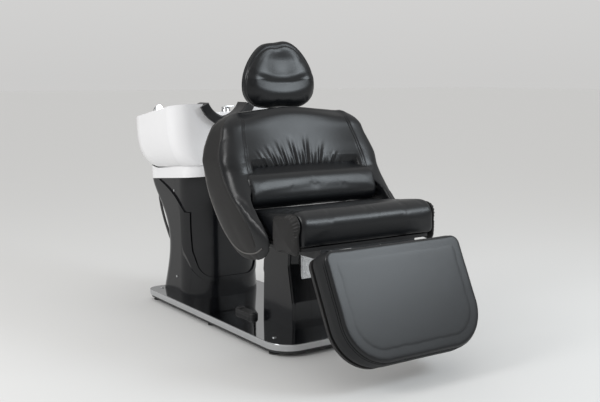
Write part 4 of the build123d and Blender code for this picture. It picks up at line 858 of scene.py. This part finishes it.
# Studio
# A very large pale floor runs into an even pale backdrop, and an even pale light comes from all round.
# One soft box stands in front on the sitter's left and one on the right.
floor_paint = finish("floor_paint", (0.63, 0.63, 0.625), 0.9, Specular_IOR_Level=0.1)
relief(floor_paint, (speckle(floor_paint, 40.0), 0.0005, 0.1))
floor_mesh = bmesh.new()
bmesh.ops.create_grid(floor_mesh, x_segments=8, y_segments=8, size=60.0)
floor_data = bpy.data.meshes.new("floor")
floor_mesh.to_mesh(floor_data)
floor_mesh.free()
floor = bpy.data.objects.new("floor", floor_data)
floor.data.materials.append(floor_paint)
bpy.context.scene.collection.objects.link(floor)


def soft_box(name, place, target, size, watts, colour=(1.0, 1.0, 1.0)):
    """A lamp behind a square of cloth, turned to what it lights."""
    lamp = bpy.data.lights.new(name, "AREA")
    lamp.shape = "RECTANGLE"
    lamp.size, lamp.size_y = size
    lamp.energy = watts
    lamp.color = colour
    box = bpy.data.objects.new(name, lamp)
    box.location = place
    box.rotation_euler = (Vector(target) - Vector(place)).to_track_quat("-Z", "Y").to_euler()
    bpy.context.scene.collection.objects.link(box)


soft_box("front_left_box", (1.85, -2.75, 2.25), (0.0, -0.4, 0.5), (1.4, 0.9), 46.0, (0.86, 0.94, 1.0))
soft_box("right_box", (-2.6, -0.3, 2.1), (0.0, 0.6, 0.7), (1.1, 1.2), 30.0)

sky = bpy.data.worlds.new("sky")
bpy.context.scene.world = sky
sky.use_nodes = True
background = sky.node_tree.nodes["Background"]
background.inputs["Color"].default_value = (1.0, 0.995, 0.985, 1.0)
toward = node(sky, "ShaderNodeTexCoord").outputs["Generated"]
sky_height = node(sky, "ShaderNodeSeparateXYZ")
link(sky, toward, sky_height.inputs["Vector"])
paths = node(sky, "ShaderNodeLightPath")
mirrored = between(sky, sky_height.outputs["Z"], 0.27, 0.80, 0.12, 0.85)
seen = between(sky, sky_height.outputs["Z"], 0.602, 0.71, 0.0, 0.24)
mirror_choice = node(sky, "ShaderNodeMix", data_type="FLOAT")
camera_choice = node(sky, "ShaderNodeMix", data_type="FLOAT")
mirror_choice.inputs[2].default_value = 0.93
link(sky, paths.outputs["Is Glossy Ray"], mirror_choice.inputs[0])
link(sky, mirrored, mirror_choice.inputs[3])
link(sky, paths.outputs["Is Camera Ray"], camera_choice.inputs[0])
link(sky, mirror_choice.outputs[0], camera_choice.inputs[2])
link(sky, seen, camera_choice.inputs[3])
link(sky, camera_choice.outputs[0], background.inputs["Strength"])
